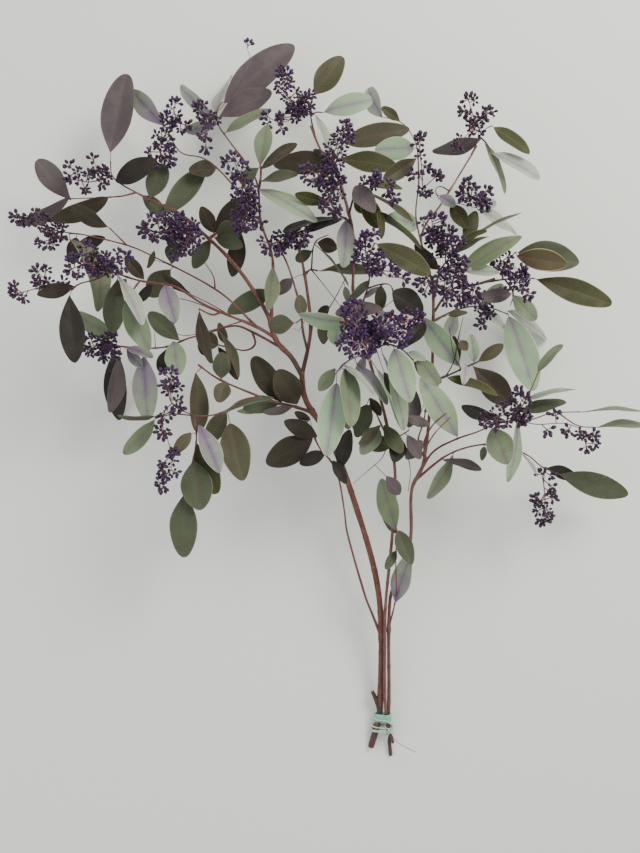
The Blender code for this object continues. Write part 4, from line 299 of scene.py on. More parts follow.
# Berry panicles: parent, height, seed, count of umbels, reach, then the axis lines.
panicles = {
    "berries_far_left": ("spray_left_high", 3.6, 11, 6, 1.3, [
        [(-40.9, 66.9), (-42.4, 67.3), (-43.8, 68), (-45.5, 69.2), (-47, 69.1)],
        [(-42.4, 67.2), (-43.2, 65.9)]]),
    "berries_left_crown": ("spray_left_top", -0.6, 12, 6, 1.3, [
        [(-35.3, 74), (-37, 73.9), (-39, 73.6), (-40.3, 75.3)],
        [(-36.8, 73.9), (-37.4, 76.1)]]),
    "berries_left_wing": ("spray_left_mid", 8.0, 13, 5, 1.3, [
        [(-40.2, 59.9), (-42.5, 60.5), (-44.6, 59.9), (-46.8, 59.3)],
        [(-43.2, 60.4), (-44.4, 61.6)]]),
    "berries_left_eye": ("spray_left_mid", 9.6, 14, 7, 1.3, [
        [(-35.0, 62.1), (-36.4, 62.5), (-38.2, 63.1), (-39.9, 62.5)],
        [(-36.2, 62.4), (-35.2, 63.6), (-33.8, 63.7)],
        [(-38, 63.1), (-38.4, 64.7)]]),
    "berries_left_mass": ("stem_left", 5.2, 15, 10, 1.6, [
        [(-25.2, 68.5), (-26.4, 67.6), (-28, 67.2), (-30.2, 67.1)],
        [(-25.9, 67.9), (-25.1, 66.4), (-25.6, 65.2)],
        [(-27.2, 67.4), (-28.6, 68.6)]]),
    "berries_left_low": ("spray_left_low", 1.2, 16, 7, 1.5, [
        [(-34.4, 52.4), (-35.8, 52.7), (-37.2, 52.4), (-38.3, 52.4)],
        [(-35.6, 52.6), (-36.2, 51.3)]]),
    "berries_crown": ("spray_crown_left", -2.2, 17, 9, 1.4, [
        [(-27.6, 79.6), (-28.5, 78.8), (-28.8, 77.2), (-28, 76.6)],
        [(-28.5, 78.9), (-28.7, 80.4), (-27.4, 81.8), (-27, 83.4)],
        [(-27.7, 81.5), (-26, 81)]]),
    "berries_top_left": ("spray_top_left", -2.4, 18, 6, 1.3, [
        [(-21.6, 81.6), (-22.8, 82.1), (-23.6, 82.9)],
        [(-22.7, 82), (-22.9, 80.2), (-23, 78.4)]]),
    "berries_limb": ("limb_mid", 5.2, 20, 12, 1.6, [
        [(-15.9, 69), (-17, 69.4), (-18, 70.6), (-17.9, 72.6), (-18.6, 74.8), (-19.3, 76.2)],
        [(-17, 69.4), (-18.2, 68.4)]]),
    "berries_top": ("spray_top", -1.6, 21, 10, 1.5, [
        [(-9.6, 82.2), (-10.6, 82.7), (-11.8, 83.9), (-12.9, 85.3), (-12.6, 87.1)],
        [(-10.5, 82.7), (-10.1, 84)],
        [(-11.3, 83.3), (-12.2, 81.5), (-13.8, 81.3), (-14.7, 81.8)]]),
    "berries_upper": ("stem_middle", 4.4, 22, 11, 1.6, [
        [(-5.4, 72.4), (-6.4, 72.6), (-7.1, 71.6), (-6.6, 70.2)],
        [(-6.4, 72.6), (-7.2, 74.1), (-8.6, 74.6), (-9.6, 75)],
        [(-6.9, 73.7), (-6.6, 76.5), (-6, 78.6), (-5.1, 80.4)]]),
    "berries_fork": ("stem_left", 2.0, 23, 8, 1.5, [
        [(-11.3, 65.6), (-12, 66.3), (-13.2, 66.1), (-14.6, 65.2)],
        [(-11.8, 66.2), (-10.4, 66.6)]]),
    "berries_up_right": ("spray_centre_up", 7.2, 24, 5, 1.1, [
        [(-2.4, 73.2), (-1.5, 74)],
        [(-1.6, 73.9), (0.2, 73), (1, 71.9)]]),
    "berries_high": ("stem_right", 3.6, 25, 7, 1.3, [
        [(4.4, 72.4), (5.3, 73), (6.3, 73.9)],
        [(5.1, 72.9), (4.9, 75.2), (4.6, 77.2), (4.7, 78.8)]]),
    "berries_crown_right": ("spray_crown_right", -0.6, 26, 8, 1.4, [
        [(12.4, 79.7), (11.9, 80.9), (11.5, 82.2), (11, 83.8)],
        [(12, 80.7), (10.7, 79.6), (9.8, 78.6)],
        [(11.8, 81.4), (12.9, 82.3)]]),
    "berries_right_high": ("spray_right_fork", 5.6, 27, 7, 1.4, [
        [(10.2, 70.7), (11, 71.4), (12.3, 72), (12.8, 71)],
        [(10.9, 71.3), (10.9, 73)]]),
    "berries_centre": ("spray_centre", 11.0, 28, 8, 1.5, [
        [(-1.9, 63.2), (-2.4, 64.6), (-2.3, 66)],
        [(-2.3, 64.2), (-0.6, 62.6), (0.4, 61.4), (2, 61.2)]]),
    "berries_right_mass": ("spray_right_up", 7.6, 29, 15, 1.6, [
        [(8.2, 63.4), (7.8, 65), (6.4, 66.6), (6.2, 68.4)],
        [(7.9, 64.8), (8.6, 66.6)],
        [(8.1, 64), (9.4, 62.9), (9, 61), (8.9, 59), (11.3, 58.7)],
        [(9, 61), (6.4, 60.6), (5.2, 60.5)]]),
    "berries_right": ("spray_right", 3.0, 30, 8, 1.3, [
        [(15.4, 62.6), (14.9, 63.8), (14.9, 65.2)],
        [(15, 63.6), (16.6, 62.9), (17.3, 62.2)],
        [(16.9, 62.6), (17.6, 60.8), (18.3, 59.4)]]),
    "berries_right_near": ("spray_right_back", -3.2, 31, 5, 1.3, [
        [(12.8, 57.6), (13.8, 58.3), (15, 59)],
        [(13.2, 57.9), (12.6, 56.4), (12.6, 55.6)]]),
    "berries_heart": ("stem_middle", 10.6, 32, 14, 1.6, [
        [(-2.8, 54), (-1.6, 54), (0, 55), (1.8, 55.3), (3.9, 56)],
        [(-2.4, 54), (-4, 55.4), (-4.1, 57.2)],
        [(-2.2, 54), (-3, 52.6), (-4.4, 53.2)],
        [(1.4, 55.2), (2, 53.4)]]),
    "berries_right_low": ("spray_right_low", 6.2, 33, 12, 1.4, [
        [(16.4, 42.8), (16.9, 44.2), (17.8, 45.3)],
        [(16.7, 43.6), (14.8, 43.4), (13.5, 42.8)],
        [(16.6, 43.2), (19.4, 42.3), (23.2, 42.4), (25.4, 41.6), (26, 39.8)]]),
    "berries_right_hang": ("spray_right_hang", -1.6, 34, 7, 1.5, [
        [(20.4, 36.6), (20.6, 34.6), (20.8, 32.6), (20.4, 30.4)]]),
    "berries_hang_left": ("spray_hang_left", 7.0, 35, 11, 1.5, [
        [(-25.6, 43.5), (-27, 44.6), (-27.8, 46.2), (-27.5, 48.4)],
        [(-27.2, 44.9), (-28.8, 43.4), (-28.6, 41.6)],
        [(-28.7, 42.6), (-27.6, 39.2), (-27.4, 36.8), (-28.3, 34.6)]]),
}


# From here to the line that prints the shift, the script repeats the rule that gave the solids
# their heights, so that the fine pieces lie where the solids are, and goes on to what only the
# looks have. This moves a design point, raised by z, along its line of sight to the eye.
def place(x, y, z):
    k = (eye - z) / eye
    return Vector((centre[0] + (x - centre[0]) * k, centre[1] + (y - centre[1]) * k, z))


# The design point that place() moves to q.
def sheetOf(q):
    k = (eye - q.z) / eye
    return Vector((centre[0] + (q.x - centre[0]) / k, centre[1] + (q.y - centre[1]) / k, q.z))


# Leave out points that lie within the slack of the line round them.
def thin(points, slack):
    if len(points) < 3:
        return points
    a, b = points[0], points[-1]
    run = (b - a).normalized()
    far, at = 0.0, 0
    for i in range(1, len(points) - 1):
        off = points[i] - a
        d = (off - run * off.dot(run)).length
        if d > far:
            far, at = d, i
    if far < slack:
        return [a, b]
    return thin(points[:at + 1], slack)[:-1] + thin(points[at:], slack)


lineSlack = 0.18
sampleGap = 0.5  # between the samples of a centre line


def slim(points):
    return [tuple(p) for p in thin([Vector(p) for p in points], lineSlack)]


# Two unit vectors square to a way and to each other.
def squareTo(way):
    side = way.orthogonal().normalized()
    return side, way.cross(side)


# Unit vector at an angle between two others.
def atAngle(side, other, angle):
    return side * math.cos(angle) + other * math.sin(angle)


# Closed tube along points whose radius runs from r0 to r1.
def tube(points, r0, r1, sides, first=None):
    verts, faces = [], []
    total = sum((b - a).length for a, b in zip(points, points[1:]))
    run, side = 0.0, None
    for i, p in enumerate(points):
        if i:
            run += (p - points[i - 1]).length
        a = points[max(0, i - 1)]
        b = points[min(len(points) - 1, i + 1)]
        t = ((p - a).normalized() + (b - p).normalized()).normalized()
        if i == 0 and first is not None:
            t = first.normalized()
        if side is None:
            side = t.orthogonal().normalized()
        side = (side - t * side.dot(t)).normalized()
        other = t.cross(side)
        r = r0 + (r1 - r0) * run / total
        for k in range(sides):
            verts.append(p + atAngle(side, other, 2 * math.pi * k / sides) * r)
    for i in range(len(points) - 1):
        for k in range(sides):
            a, b = i * sides + k, i * sides + (k + 1) % sides
            faces += [(a, b, b + sides), (a, b + sides, a + sides)]
    last = (len(points) - 1) * sides
    for k in range(1, sides - 1):
        faces += [(0, k + 1, k), (last, last + k, last + k + 1)]
    return verts, faces


# A leaf's natural width is a share of its length, up to a limit, and its blade arches by a
# share of its length. A blade that shows narrower than that is turned about its own line. The
# plate of a solid is cut at a few stations (way along, half width as a share), more when it is
# long. It has a stalk, which can't be too short or run backwards, and room is kept round it.
leafRule = {
    "widest": 0.40, "limit": 3.0, "arch": 0.05, "foot": 0.36, "neck": (0.10, 0.06), "thick": 0.04,
    "long": ((0.30, 0.46), (0.66, 0.46), (1.0, 0.10)), "short": ((0.45, 0.5), (1.0, 0.14)), "longFrom": 4.5,
    "inner": 0.12, "baseRise": 0.25, "leastStalk": 0.35, "backward": -0.2, "room": 0.05, "ownRoom": 0.02,
}


# Closed leaf: stalk, then blade stations with one sense of diagonal.
def leafShape(root, fat, base, tip, seen, roll, bow, grow, part=0):
    axis = tip - base
    length = axis.length
    along = axis.normalized()
    side = along.cross(Vector((0, 0, 1))).normalized()
    normal = side.cross(along)
    natural = max(seen, min(leafRule["widest"] * length, leafRule["limit"]))
    angle = math.acos(min(1.0, seen / natural)) * roll
    flat = side * math.cos(angle) + normal * math.sin(angle)
    up = flat.cross(along) * -1.0
    if up.z < 0:
        up = -up
    verts, faces = [], []
    stations = [(root, fat * leafRule["foot"], fat * leafRule["foot"]), (base, *leafRule["neck"])]
    for t, w in leafRule["long" if length > leafRule["longFrom"] else "short"]:
        arch = 4 * t * (1 - t)
        point = base + axis * t + up * arch * leafRule["arch"] * length + side * arch * bow * length
        stations.append((point, w * natural, leafRule["thick"]))
    ahead = (base - root).normalized()
    turns = [along.rotation_difference(ahead), along.rotation_difference((ahead + along).normalized())]
    if part:
        inner = leafRule["inner"]
        stations[0] = (base.lerp(tip, inner), inner * natural, leafRule["thick"])
        del stations[1]
        turns = []
    for i, (p, w, h) in enumerate(stations):
        w += grow
        h += grow
        wide, high = flat * w, up * h
        if i < len(turns):
            wide, high = turns[i] @ wide, turns[i] @ high
        verts += [p - wide - high, p + wide - high, p + wide + high, p - wide + high]
    for i in range(len(stations) - 1):
        a, b = i * 4, i * 4 + 4
        faces += [(a, a + 1, b + 1), (a, b + 1, b), (a + 1, a + 2, b + 2), (a + 1, b + 2, b + 1)]
        faces += [(a + 3, b + 2, a + 2), (a + 3, b + 3, b + 2), (a + 3, a, b), (a + 3, b, b + 3)]
    last = (len(stations) - 1) * 4
    faces += [(0, 2, 1), (0, 3, 2), (last, last + 1, last + 2), (last, last + 2, last + 3)]
    return verts, faces


# A solid's bud swells to a radius and ends in a tip. Its hub has two triangles, one below and
# one above the top of the stalk. The stand-in of a bud is a profile (way along, radius).
budRule = {
    "swell": 0.8, "radius": 0.27, "tip": 1.12, "below": 0.05, "above": 0.09, "hub": 0.075, "foot": 0.05,
    "room": ((0.1, 0.10), (0.45, 0.14), (0.80, 0.33), (1.24, 0.06)),
}


# Ring and tip of a three-sided, club-shaped bud on a small triangle.
def budOn(tri, way, size):
    mid = sum(tri, Vector()) / 3
    ring = []
    for v in tri:
        off = v - mid
        out = (off - way * off.dot(way)).normalized()
        ring.append(mid + way * budRule["swell"] * size + out * budRule["radius"] * size)
    return ring, mid + way * budRule["tip"] * size


# Stalk (or whole axis), six-cornered hub and its buds, as one closed skin.
def umbelShape(foot, top, way, fan, sizes, turn, use, axis=None):
    side, other = squareTo(way)

    def ring(base, r, lag):
        out = []
        for k in range(3):
            out.append(base + atAngle(side, other, turn + (2 * k + lag) * math.pi / 3) * r)
        return out

    low = ring(top - way * budRule["below"], budRule["hub"], 0)
    if axis:
        verts, faces = list(axis[0]), list(axis[1][:-1])
    else:
        verts, faces = ring(foot, budRule["foot"], 0), [(0, 2, 1)]
    n = len(verts)
    feet = verts[-3:]
    lag = min(range(3), key=lambda m: sum((low[k] - feet[(k + m) % 3]).length for k in range(3)))
    feet = [n - 3 + (k + lag) % 3 for k in range(3)]
    verts += low + ring(top + way * budRule["above"], budRule["hub"], 1)
    for k in range(3):
        a, b = n + k, n + (k + 1) % 3
        faces += [(feet[k], feet[(k + 1) % 3], b), (feet[k], b, a), (b, b + 3, a + 3)]
    spots = [(n + 3, n + 4, n + 5)] + [(n + k, n + (k + 1) % 3, n + 3 + k) for k in range(3)]
    for m, spot in enumerate(spots):
        if m not in use:
            faces.append(spot)
            continue
        belly, apex = budOn([verts[i] for i in spot], fan[m], sizes[m])
        first = len(verts)
        verts += belly + [apex]
        for k in range(3):
            a, b = spot[k], spot[(k + 1) % 3]
            c, d = first + k, first + (k + 1) % 3
            faces += [(a, b, d), (a, d, c), (c, d, first + 3)]
    return verts, faces


# Fattened stand-in of one bud, for the clearance test.
def budAlone(top, way, size):
    side, other = squareTo(way)
    verts, faces = [], []
    for s, r in budRule["room"]:
        for k in range(6):
            verts.append(top + way * s * size + atAngle(side, other, math.pi * k / 3) * r * size)
    for i in (0, 6, 12):
        for k in range(6):
            a, b = i + k, i + (k + 1) % 6
            faces += [(a, b, b + 6), (a, b + 6, a + 6)]
    return verts, faces


placed = []  # every solid so far, for the clearance tests
solids = {}
lines = {}  # centre lines of each node's wood, sampled
wood = {}  # the same lines as the looks draw them, with their radii
joints = []  # where a twig leaves its parent
leafFits = {}
bunches = {}


def boxOf(verts):
    return [min(v[i] for v in verts) for i in range(3)], [max(v[i] for v in verts) for i in range(3)]


# True when a shape meets no solid of another node (or, with own, of its node).
def clear(node, shape, skip=(), own=False):
    verts, faces = shape
    lo, hi = boxOf(verts)
    tree = None
    for other, olo, ohi, otree in placed:
        if (other == node) != own or other in skip:
            continue
        if any(hi[k] < olo[k] or lo[k] > ohi[k] for k in range(3)):
            continue
        if tree is None:
            tree = BVHTree.FromPolygons(verts, faces)
        if tree.overlap(otree):
            return False
    return True


# Add a solid to its node and to the list that later solids avoid.
def keep(node, shape):
    verts, faces = shape
    lo, hi = boxOf(verts)
    placed.append((node, lo, hi, BVHTree.FromPolygons(verts, faces)))
    solids.setdefault(node, []).append(shape)


# Centre line of a twig: sheet point, radius and real point of each sample.
def record(node, path, r0, r1, start=0):
    row = []
    for a, b in zip(path, path[1:]):
        n = max(1, int((b - a).length / sampleGap))
        row += [a.lerp(b, i / n) for i in range(n)]
    row.append(path[-1])
    n = len(row) - 1
    row = [(sheetOf(q), r0 + (r1 - r0) * i / n, q) for i, q in enumerate(row)]
    lines.setdefault(node, []).append(row[start:])


# Closest centre-line sample of a node, its radius, real point and direction.
def nearest(node, x, y):
    best = None
    for row in lines[node]:
        for i, (p, r, q) in enumerate(row):
            d = (p.x - x) ** 2 + (p.y - y) ** 2
            if best is None or d < best[0]:
                a, b = row[max(0, i - 1)][2], row[min(len(row) - 1, i + 1)][2]
                best = (d, p, r, q, (b - a).normalized())
    return best[1:]


# Heights that ease from z0 at the first point to z1 at the last.
def rise(points, z0, z1):
    steps = [0.0]
    for a, b in zip(points, points[1:]):
        steps.append(steps[-1] + math.hypot(b[0] - a[0], b[1] - a[1]))
    out = []
    for p, s in zip(points, steps):
        t = min(1.0, twigRule["steep"] * s / steps[-1])
        out.append((p[0], p[1], z0 + (z1 - z0) * t * t * (3 - 2 * t)))
    return out


# Sample of a centre line that lies a given way back from a spot on it.
def behind(parent, spot, back):
    gap, row, i = min((((q - spot).length, k, i) for k, row in enumerate(lines[parent])
                       for i, (p, r, q) in enumerate(row)))
    return lines[parent][row][max(0, i - round(back / sampleGap))][2]


# A twig tapers to a share of its radius. It starts a gap off its parent's skin, bends away, and
# its own points count once they are clear of the parent. Room is kept round it, less close to
# the parent than away from it. In the looks its heel lies up to a few of its widths back.
twigRule = {
    "taper": 0.6, "gap": 0.035, "bend": 0.30, "clear": 0.45, "near": 0.02, "away": 0.06, "heel": 2.2,
    "late": 0.3, "flat": 0.05, "steep": 1.6, "sunk": 0.9, "sideRise": 0.5, "sideTaper": 0.8,
}
swing = [0] + [way * lift for lift in (0.7, 1.4, 2.1, 2.8, 3.5, 4.4, 5.4, 6.5, 8) for way in (1, -1)]


# Real points of a twig from a spot on its parent to a height.
def twigPoints(foot, spot, points, height):
    heights = slim(rise([(foot.x, foot.y)] + list(points[1:]), foot.z, height))
    return [spot] + [place(*h) for h in heights[1:]]


# Twig from just off its parent's skin, at the first height that is clear. In the looks it
# leaves the parent's middle a little way back, at a narrow angle.
def grow(node, parent, points, height, r, sides):
    foot, fat, spot, run = nearest(parent, *points[0])
    end = r * twigRule["taper"]
    near, away, beyond = twigRule["near"], twigRule["away"], fat + twigRule["clear"] + r
    for step in swing:
        real = twigPoints(foot, spot, points, height + step)
        ahead = real[1] - real[0]
        out = ahead - run * ahead.dot(run)
        if out.length < twigRule["flat"]:
            out = Vector((0, 0, 1.0 if height + step > foot.z else -1.0))
        out.normalize()
        start = real[0] + out * (fat + twigRule["gap"])
        bend = real[0] + out * (fat + twigRule["bend"] + r)
        path = [start, bend] + [p for p in real[1:] if (p - real[0]).length > beyond]
        late = [path[1].lerp(path[2], twigRule["late"])] + path[2:] if len(path) > 2 else path
        if clear(node, tube(late, r + away, end + away, 6)):
            if clear(node, tube(path, r + near, end + near, 6), (parent,)):
                break
    else:
        print("no room for twig", node)
    keep(node, tube(path, r, end, sides, out))
    record(node, path, r, end, 1)
    lean = max(0.0, ahead.normalized().dot(run))
    heel = behind(parent, spot, twigRule["heel"] * lean * beyond)
    wood.setdefault(node, []).append(([heel] + path[min(2, len(path) - 1):], r, end))
    joints.append((parent, heel))
    return step


# Side twig whose root is sunk in a twig of its own node.
def branch(node, points, height, r):
    foot, fat, spot, run = nearest(node, *points[0])
    end = r * twigRule["taper"]
    for step in swing:
        real = twigPoints(foot, spot, points, height + step)
        if clear(node, tube(real, r + twigRule["away"], end + twigRule["away"], 6)):
            break
    else:
        print("no room for side twig", node, points[0])
    thick = min(r, fat * twigRule["sunk"])
    keep(node, tube(real, thick, end, 3))
    record(node, real, r, end)
    wood[node].append((real, thick, end))


for node, limbs in stems.items():
    for r0, r1, points in limbs:
        path = [place(*p) for p in slim(points)]
        keep(node, tube(path, r0, r1, 7 if r0 > 0.4 else 6 if r0 > 0.25 else 5))
        record(node, path, r0, r1)
        wood.setdefault(node, []).append((path, r0, r1))

order = list(sprays)
order.sort(key=lambda n: (n != "limb_mid", sprays[n][0] not in stems))
for node in order:
    parent, height, r, twigs, leaves = sprays[node]
    step = grow(node, parent, twigs[0], height, r, 4 if r > 0.12 else 3)
    for side in twigs[1:]:
        branch(node, side, height + step + twigRule["sideRise"], r * twigRule["sideTaper"])
for node, (parent, height, seed, count, reach, rows) in panicles.items():
    step = grow(node, parent, rows[0], height, 0.10, 3)
    for side in rows[1:]:
        branch(node, side, height + step + 0.4, 0.08)


# Place one leaf at the first rise and roll that clears the rest.
def leafFit(node, entry):
    bx, by, tx, ty, seen, lift, tone = entry[:7]
    bow = entry[7] if len(entry) > 7 else 0.0
    foot, fat, root, run = nearest(node, bx, by)
    for strict in (True, False):
        for step, roll in [(step, roll) for step in swing for roll in (1, -1)]:
            base = place(bx, by, foot.z + leafRule["baseRise"] * (lift + step))
            tip = place(tx, ty, foot.z + lift + step)
            stalk, blade = base - root, tip - base
            least, backward = leafRule["leastStalk"], leafRule["backward"] * stalk.length * blade.length
            if stalk.length < least or stalk.dot(blade) < backward:
                base = root + (tip - root).normalized() * max(least, stalk.length)
            fit = (root, fat, base, tip, seen * (eye - (foot.z + lift + step)) / eye, roll, bow)
            if not clear(node, leafShape(*fit, leafRule["room"])):
                continue
            if strict and not clear(node, leafShape(*fit, leafRule["ownRoom"], 1), own=True):
                continue
            keep(node, leafShape(*fit, 0.0))
            leafFits.setdefault(node, []).append((fit, tone))
            return
    print("no room for leaf", node, entry)


# Umbels of the solids: stalk, tilt of the lower and upper buds and their size. A stalk is
# shortened by steps until it has room.
golden = 2.4
umbel = {
    "end": 0.35, "stalk": (0.45, 0.95), "low": (1.2, 1.45), "high": (0.65, 0.85), "grown": (0.88, 1.1),
    "spread": 0.8, "rise": 0.75, "riseTurn": 1.7, "stray": 0.15, "shorter": (1, 0.7, 0.45, 0.25),
    "ahead": 0.1, "room": (0.11, 0.13), "every": 4,
}


# A direction tilted away from another one, towards an angle round it.
def tilted(way, side, other, angle, tilt):
    return atAngle(way, atAngle(side, other, angle), tilt).normalized()


# Umbels round a panicle axis: golden-angle stalks, each with a fan of buds.
def umbels(node):
    parent, height, seed, count, reach, rows = panicles[node]
    rand = random.Random(seed)
    spots = [q for row in lines[node] for p, r, q in row[2:]]
    turn = rand.uniform(0, 6)
    out = []
    for i in range(count):
        if i < len(rows):
            row = lines[node][i]
            foot = row[-1][2]
            way = (foot - row[-3][2]).normalized()
            stalk = umbel["end"]
        else:
            at = (i + rand.random() * umbel["spread"] - len(rows)) / (count - len(rows))
            foot = spots[int(at * (len(spots) - 1))]
            turn += golden
            lift = umbel["rise"] * math.sin(turn * umbel["riseTurn"] + seed)
            way = Vector((math.cos(turn), math.sin(turn), lift)).normalized()
            stalk = reach * rand.uniform(*umbel["stalk"])
        side, other = squareTo(way)
        spin = rand.uniform(0, 2)
        fan = [way]
        for k in range(6):
            stray = rand.uniform(-umbel["stray"], umbel["stray"])
            q = spin + (2 * (k % 3) + (1 if k < 3 else 0)) * math.pi / 3 + stray
            fan.append(tilted(way, side, other, q, rand.uniform(*umbel["low" if k < 3 else "high"])))
        grown = [rand.uniform(*umbel["grown"]) for k in range(7)]
        out.append((foot, foot + way * stalk, way, fan, grown, spin))
    return out


# Shortens the umbel's stalk until it is clear, and picks the buds that are clear.
def fitUmbel(node, one, wanted):
    foot, top, way, fan, grown, spin = one
    for short in umbel["shorter"]:
        top = foot + way * (one[1] - foot).length * short
        if clear(node, tube([foot, top + way * umbel["ahead"]], *umbel["room"], 6)):
            return top, [k for k in wanted if clear(node, budAlone(top, fan[k], grown[k]))]
    return None, []


# The leaves that the solids have, largest first, placed as the solids are.
bigLeaf = 9.0
todo = []
for node in sprays:
    for i, entry in enumerate(sprays[node][4]):
        todo.append(((entry[4] + 0.5) * math.hypot(entry[2] - entry[0], entry[3] - entry[1]), node, i))
todo.sort(reverse=True)
for size, node, i in todo:
    if size > bigLeaf:
        leafFit(node, sprays[node][4][i])

# Of the umbels, the solids have every fourth one and all at the ends of the axes.
fullUmbels = {node: umbels(node) for node in panicles}
for node in panicles:
    bunches[node] = {}
    ends = len(panicles[node][5])
    for i, one in enumerate(fullUmbels[node]):
        foot, top, way, fan, grown, spin = one
        if i >= ends and i % umbel["every"]:
            continue
        top, use = fitUmbel(node, one, range(4))
        if top is None:
            continue
        axis = solids[node][i] if i < ends else None
        keep(node, umbelShape(foot, top, way, fan, grown, spin, use, axis))
        if axis:
            solids[node][i] = solids[node].pop()
        bunches[node][i] = (foot, top, way, fan, grown, use)

# Ends of the tape and of the string along the stems.
bandLow, bandHigh = place(0, 4.0, -11.3).y, place(0, 5.0, -11.1).y
stringLow, stringHigh = place(0, 2.6, -11.6).y, place(0, 3.6, -11.4).y

# Only the looks have the small leaves, these thin twigs (node, radius, height, points) and
# the leaves tucked in between, each on the twig that is nearest to its base.
thinTwigs = [
    ("spray_left_mid", 0.09, 3.0, [(-15.5, 54.4), (-19, 55.9), (-24, 58.6), (-29.5, 60.6)]),
    ("spray_left_mid", 0.08, 4.5, [(-16.5, 54.6), (-20.5, 56.4), (-25, 58.2), (-28.6, 58.8)]),
    ("spray_left_mid", 0.07, 1.5, [(-18.5, 55.2), (-21.6, 54.6), (-25.6, 53.7), (-27.4, 54.2)]),
    ("spray_left_high", 0.08, 4.0, [(-21.5, 59.7), (-22, 61.4), (-23.2, 63.2)]),
    ("spray_right_low", 0.17, 4.5, [(5.1, 37.6), (5.2, 40), (6.3, 42.2), (8.0, 43.7)]),
    ("spray_right_low", 0.14, 3.0, [(4.9, 37.2), (4.4, 40), (5.2, 43), (5.5, 46)]),
    ("spray_right_low", 0.11, 5.5, [(5.2, 38.6), (6.6, 41.2), (8.6, 43.2)]),
    ("spray_shadow", 0.06, 3.0, [(0.8, 40.4), (-0.2, 38.0), (-1.6, 36.7), (-3.9, 34.7)]),
    ("spray_shadow", 0.07, 2.0, [(1.0, 40.2), (2.8, 38.6), (3.4, 36.2), (3.1, 33.6)]),
    ("spray_cross", 0.07, 4.0, [(-8.2, 56.0), (-7.0, 57.4), (-4.9, 61.2)]),
    ("spray_centre_left", 0.07, 4.5, [(-9.2, 62.4), (-7.4, 59.8), (-5.4, 57.2)]),
    ("spray_right_mid", 0.07, 3.5, [(8.0, 48.9), (9.0, 50.4), (9.6, 53.4), (10.2, 56.2)]),
    ("spray_right_mid", 0.06, 4.0, [(9.6, 49.6), (9.0, 51.2), (8.4, 54.8)]),
    ("spray_top_mid", 0.06, 4.0, [(-6.4, 76.4), (-5.6, 79), (-4.4, 81.3)]),
]
tuckedLeaves = [
    (-4.9, 49.6, -4.3, 42.0, 2.7, 1.5, 3), (-0.9, 49.4, 2.5, 41.5, 1.7, 3.0, 1),
    (-5.3, 50.0, -1.3, 46.0, 1.0, 3.0, 0), (3.0, 47.2, 4.2, 42.0, 3.0, -0.5, 6),
    (4.2, 51.0, 7.0, 47.2, 2.2, 0.5, 3), (1.4, 39.7, -2.8, 39.9, 2.2, 1.5, 5),
    (4.9, 40.2, 2.8, 37.8, 1.9, 1.0, 6), (0.0, 42.2, 2.3, 38.6, 2.0, 0.0, 4),
    (5.5, 44.2, 7.8, 43.0, 1.5, -0.5, 6), (0.0, 49.0, 1.8, 45.5, 1.6, -1.5, 4),
    (4.2, 48.0, 6.0, 44.6, 2.0, -1.0, 5), (0.3, 35.6, 2.0, 33.2, 1.8, -1.0, 6),
    (-1.5, 46.2, -3.6, 41.2, 2.4, -0.8, 4), (-8.6, 42.4, -10.3, 42.9, 1.4, 1.0, 1),
    (-13.7, 45.6, -19.0, 44.0, 0.8, 1.5, 3), (-14.4, 45.8, -18.0, 45.2, 1.1, -1.0, 8),
    (-5.2, 68.7, -10.2, 67.2, 1.6, 1.0, 6), (-5.8, 61.0, -4.6, 58.0, 0.9, 1.0, 3),
    (-0.2, 57.2, -6.3, 56.6, 2.2, -0.8, 6), (5.2, 56.3, 10.8, 56.7, 0.9, 1.2, 5),
    (12.8, 57.3, 15.8, 54.3, 1.3, -0.5, 0), (9.2, 53.4, 10.7, 51.8, 1.3, 0.0, 5),
    (-11.3, 58.7, -11.0, 54.3, 1.5, 1.0, 9), (-21.2, 54.3, -18.8, 48.3, 1.0, 1.5, 5),
    (-24.4, 54.2, -21.5, 52.4, 2.2, -1.0, 7), (-11.9, 61.1, -13.8, 59.0, 1.6, 0.0, 6),
    (-22.8, 66.2, -18.4, 67.4, 3.0, -1.0, 4), (-33.0, 61.0, -34.8, 58.8, 1.6, -1.0, 7),
    (-3.8, 73.0, -1.2, 69.6, 2.6, -0.8, 6), (-7.4, 73.4, -9.6, 73.8, 0.9, 0.5, 1),
    (-16.2, 75.6, -18.6, 73.4, 1.8, -1.0, 4), (-6.2, 74.6, -9.2, 77.4, 1.8, -1.2, 8),
    (-36.0, 66.4, -39.6, 65.2, 1.5, -1.0, 8), (-26.0, 66.0, -29.6, 63.4, 2.4, -1.2, 4),
    (-33.5, 52.8, -31.2, 49.6, 1.4, 0.8, 2), (-29.6, 54.4, -26.8, 56.0, 1.5, -0.8, 4),
]
for node, r, height, points in thinTwigs:
    branch(node, points, height, r)
for size, node, i in todo:
    if size <= bigLeaf:
        leafFit(node, sprays[node][4][i])
for entry in tuckedLeaves:
    spot = Vector(entry[:2])
    gaps = {node: min((p.xy - spot).length for row in lines[node] for p, r, q in row) for node in sprays}
    leafFit(min(gaps, key=gaps.get), entry)
for node in panicles:
    for i, one in enumerate(fullUmbels[node]):
        foot, top, way, fan, grown, spin = one
        if i in bunches[node]:
            top, use = bunches[node][i][1], bunches[node][i][5]
            use += [k for k in range(4, 7) if clear(node, budAlone(top, fan[k], grown[k]))]
            continue
        top, use = fitUmbel(node, one, range(7))
        if top is not None:
            keep(node, umbelShape(foot, top, way, fan, grown, spin, use))
            bunches[node][i] = (foot, top, way, fan, grown, use)

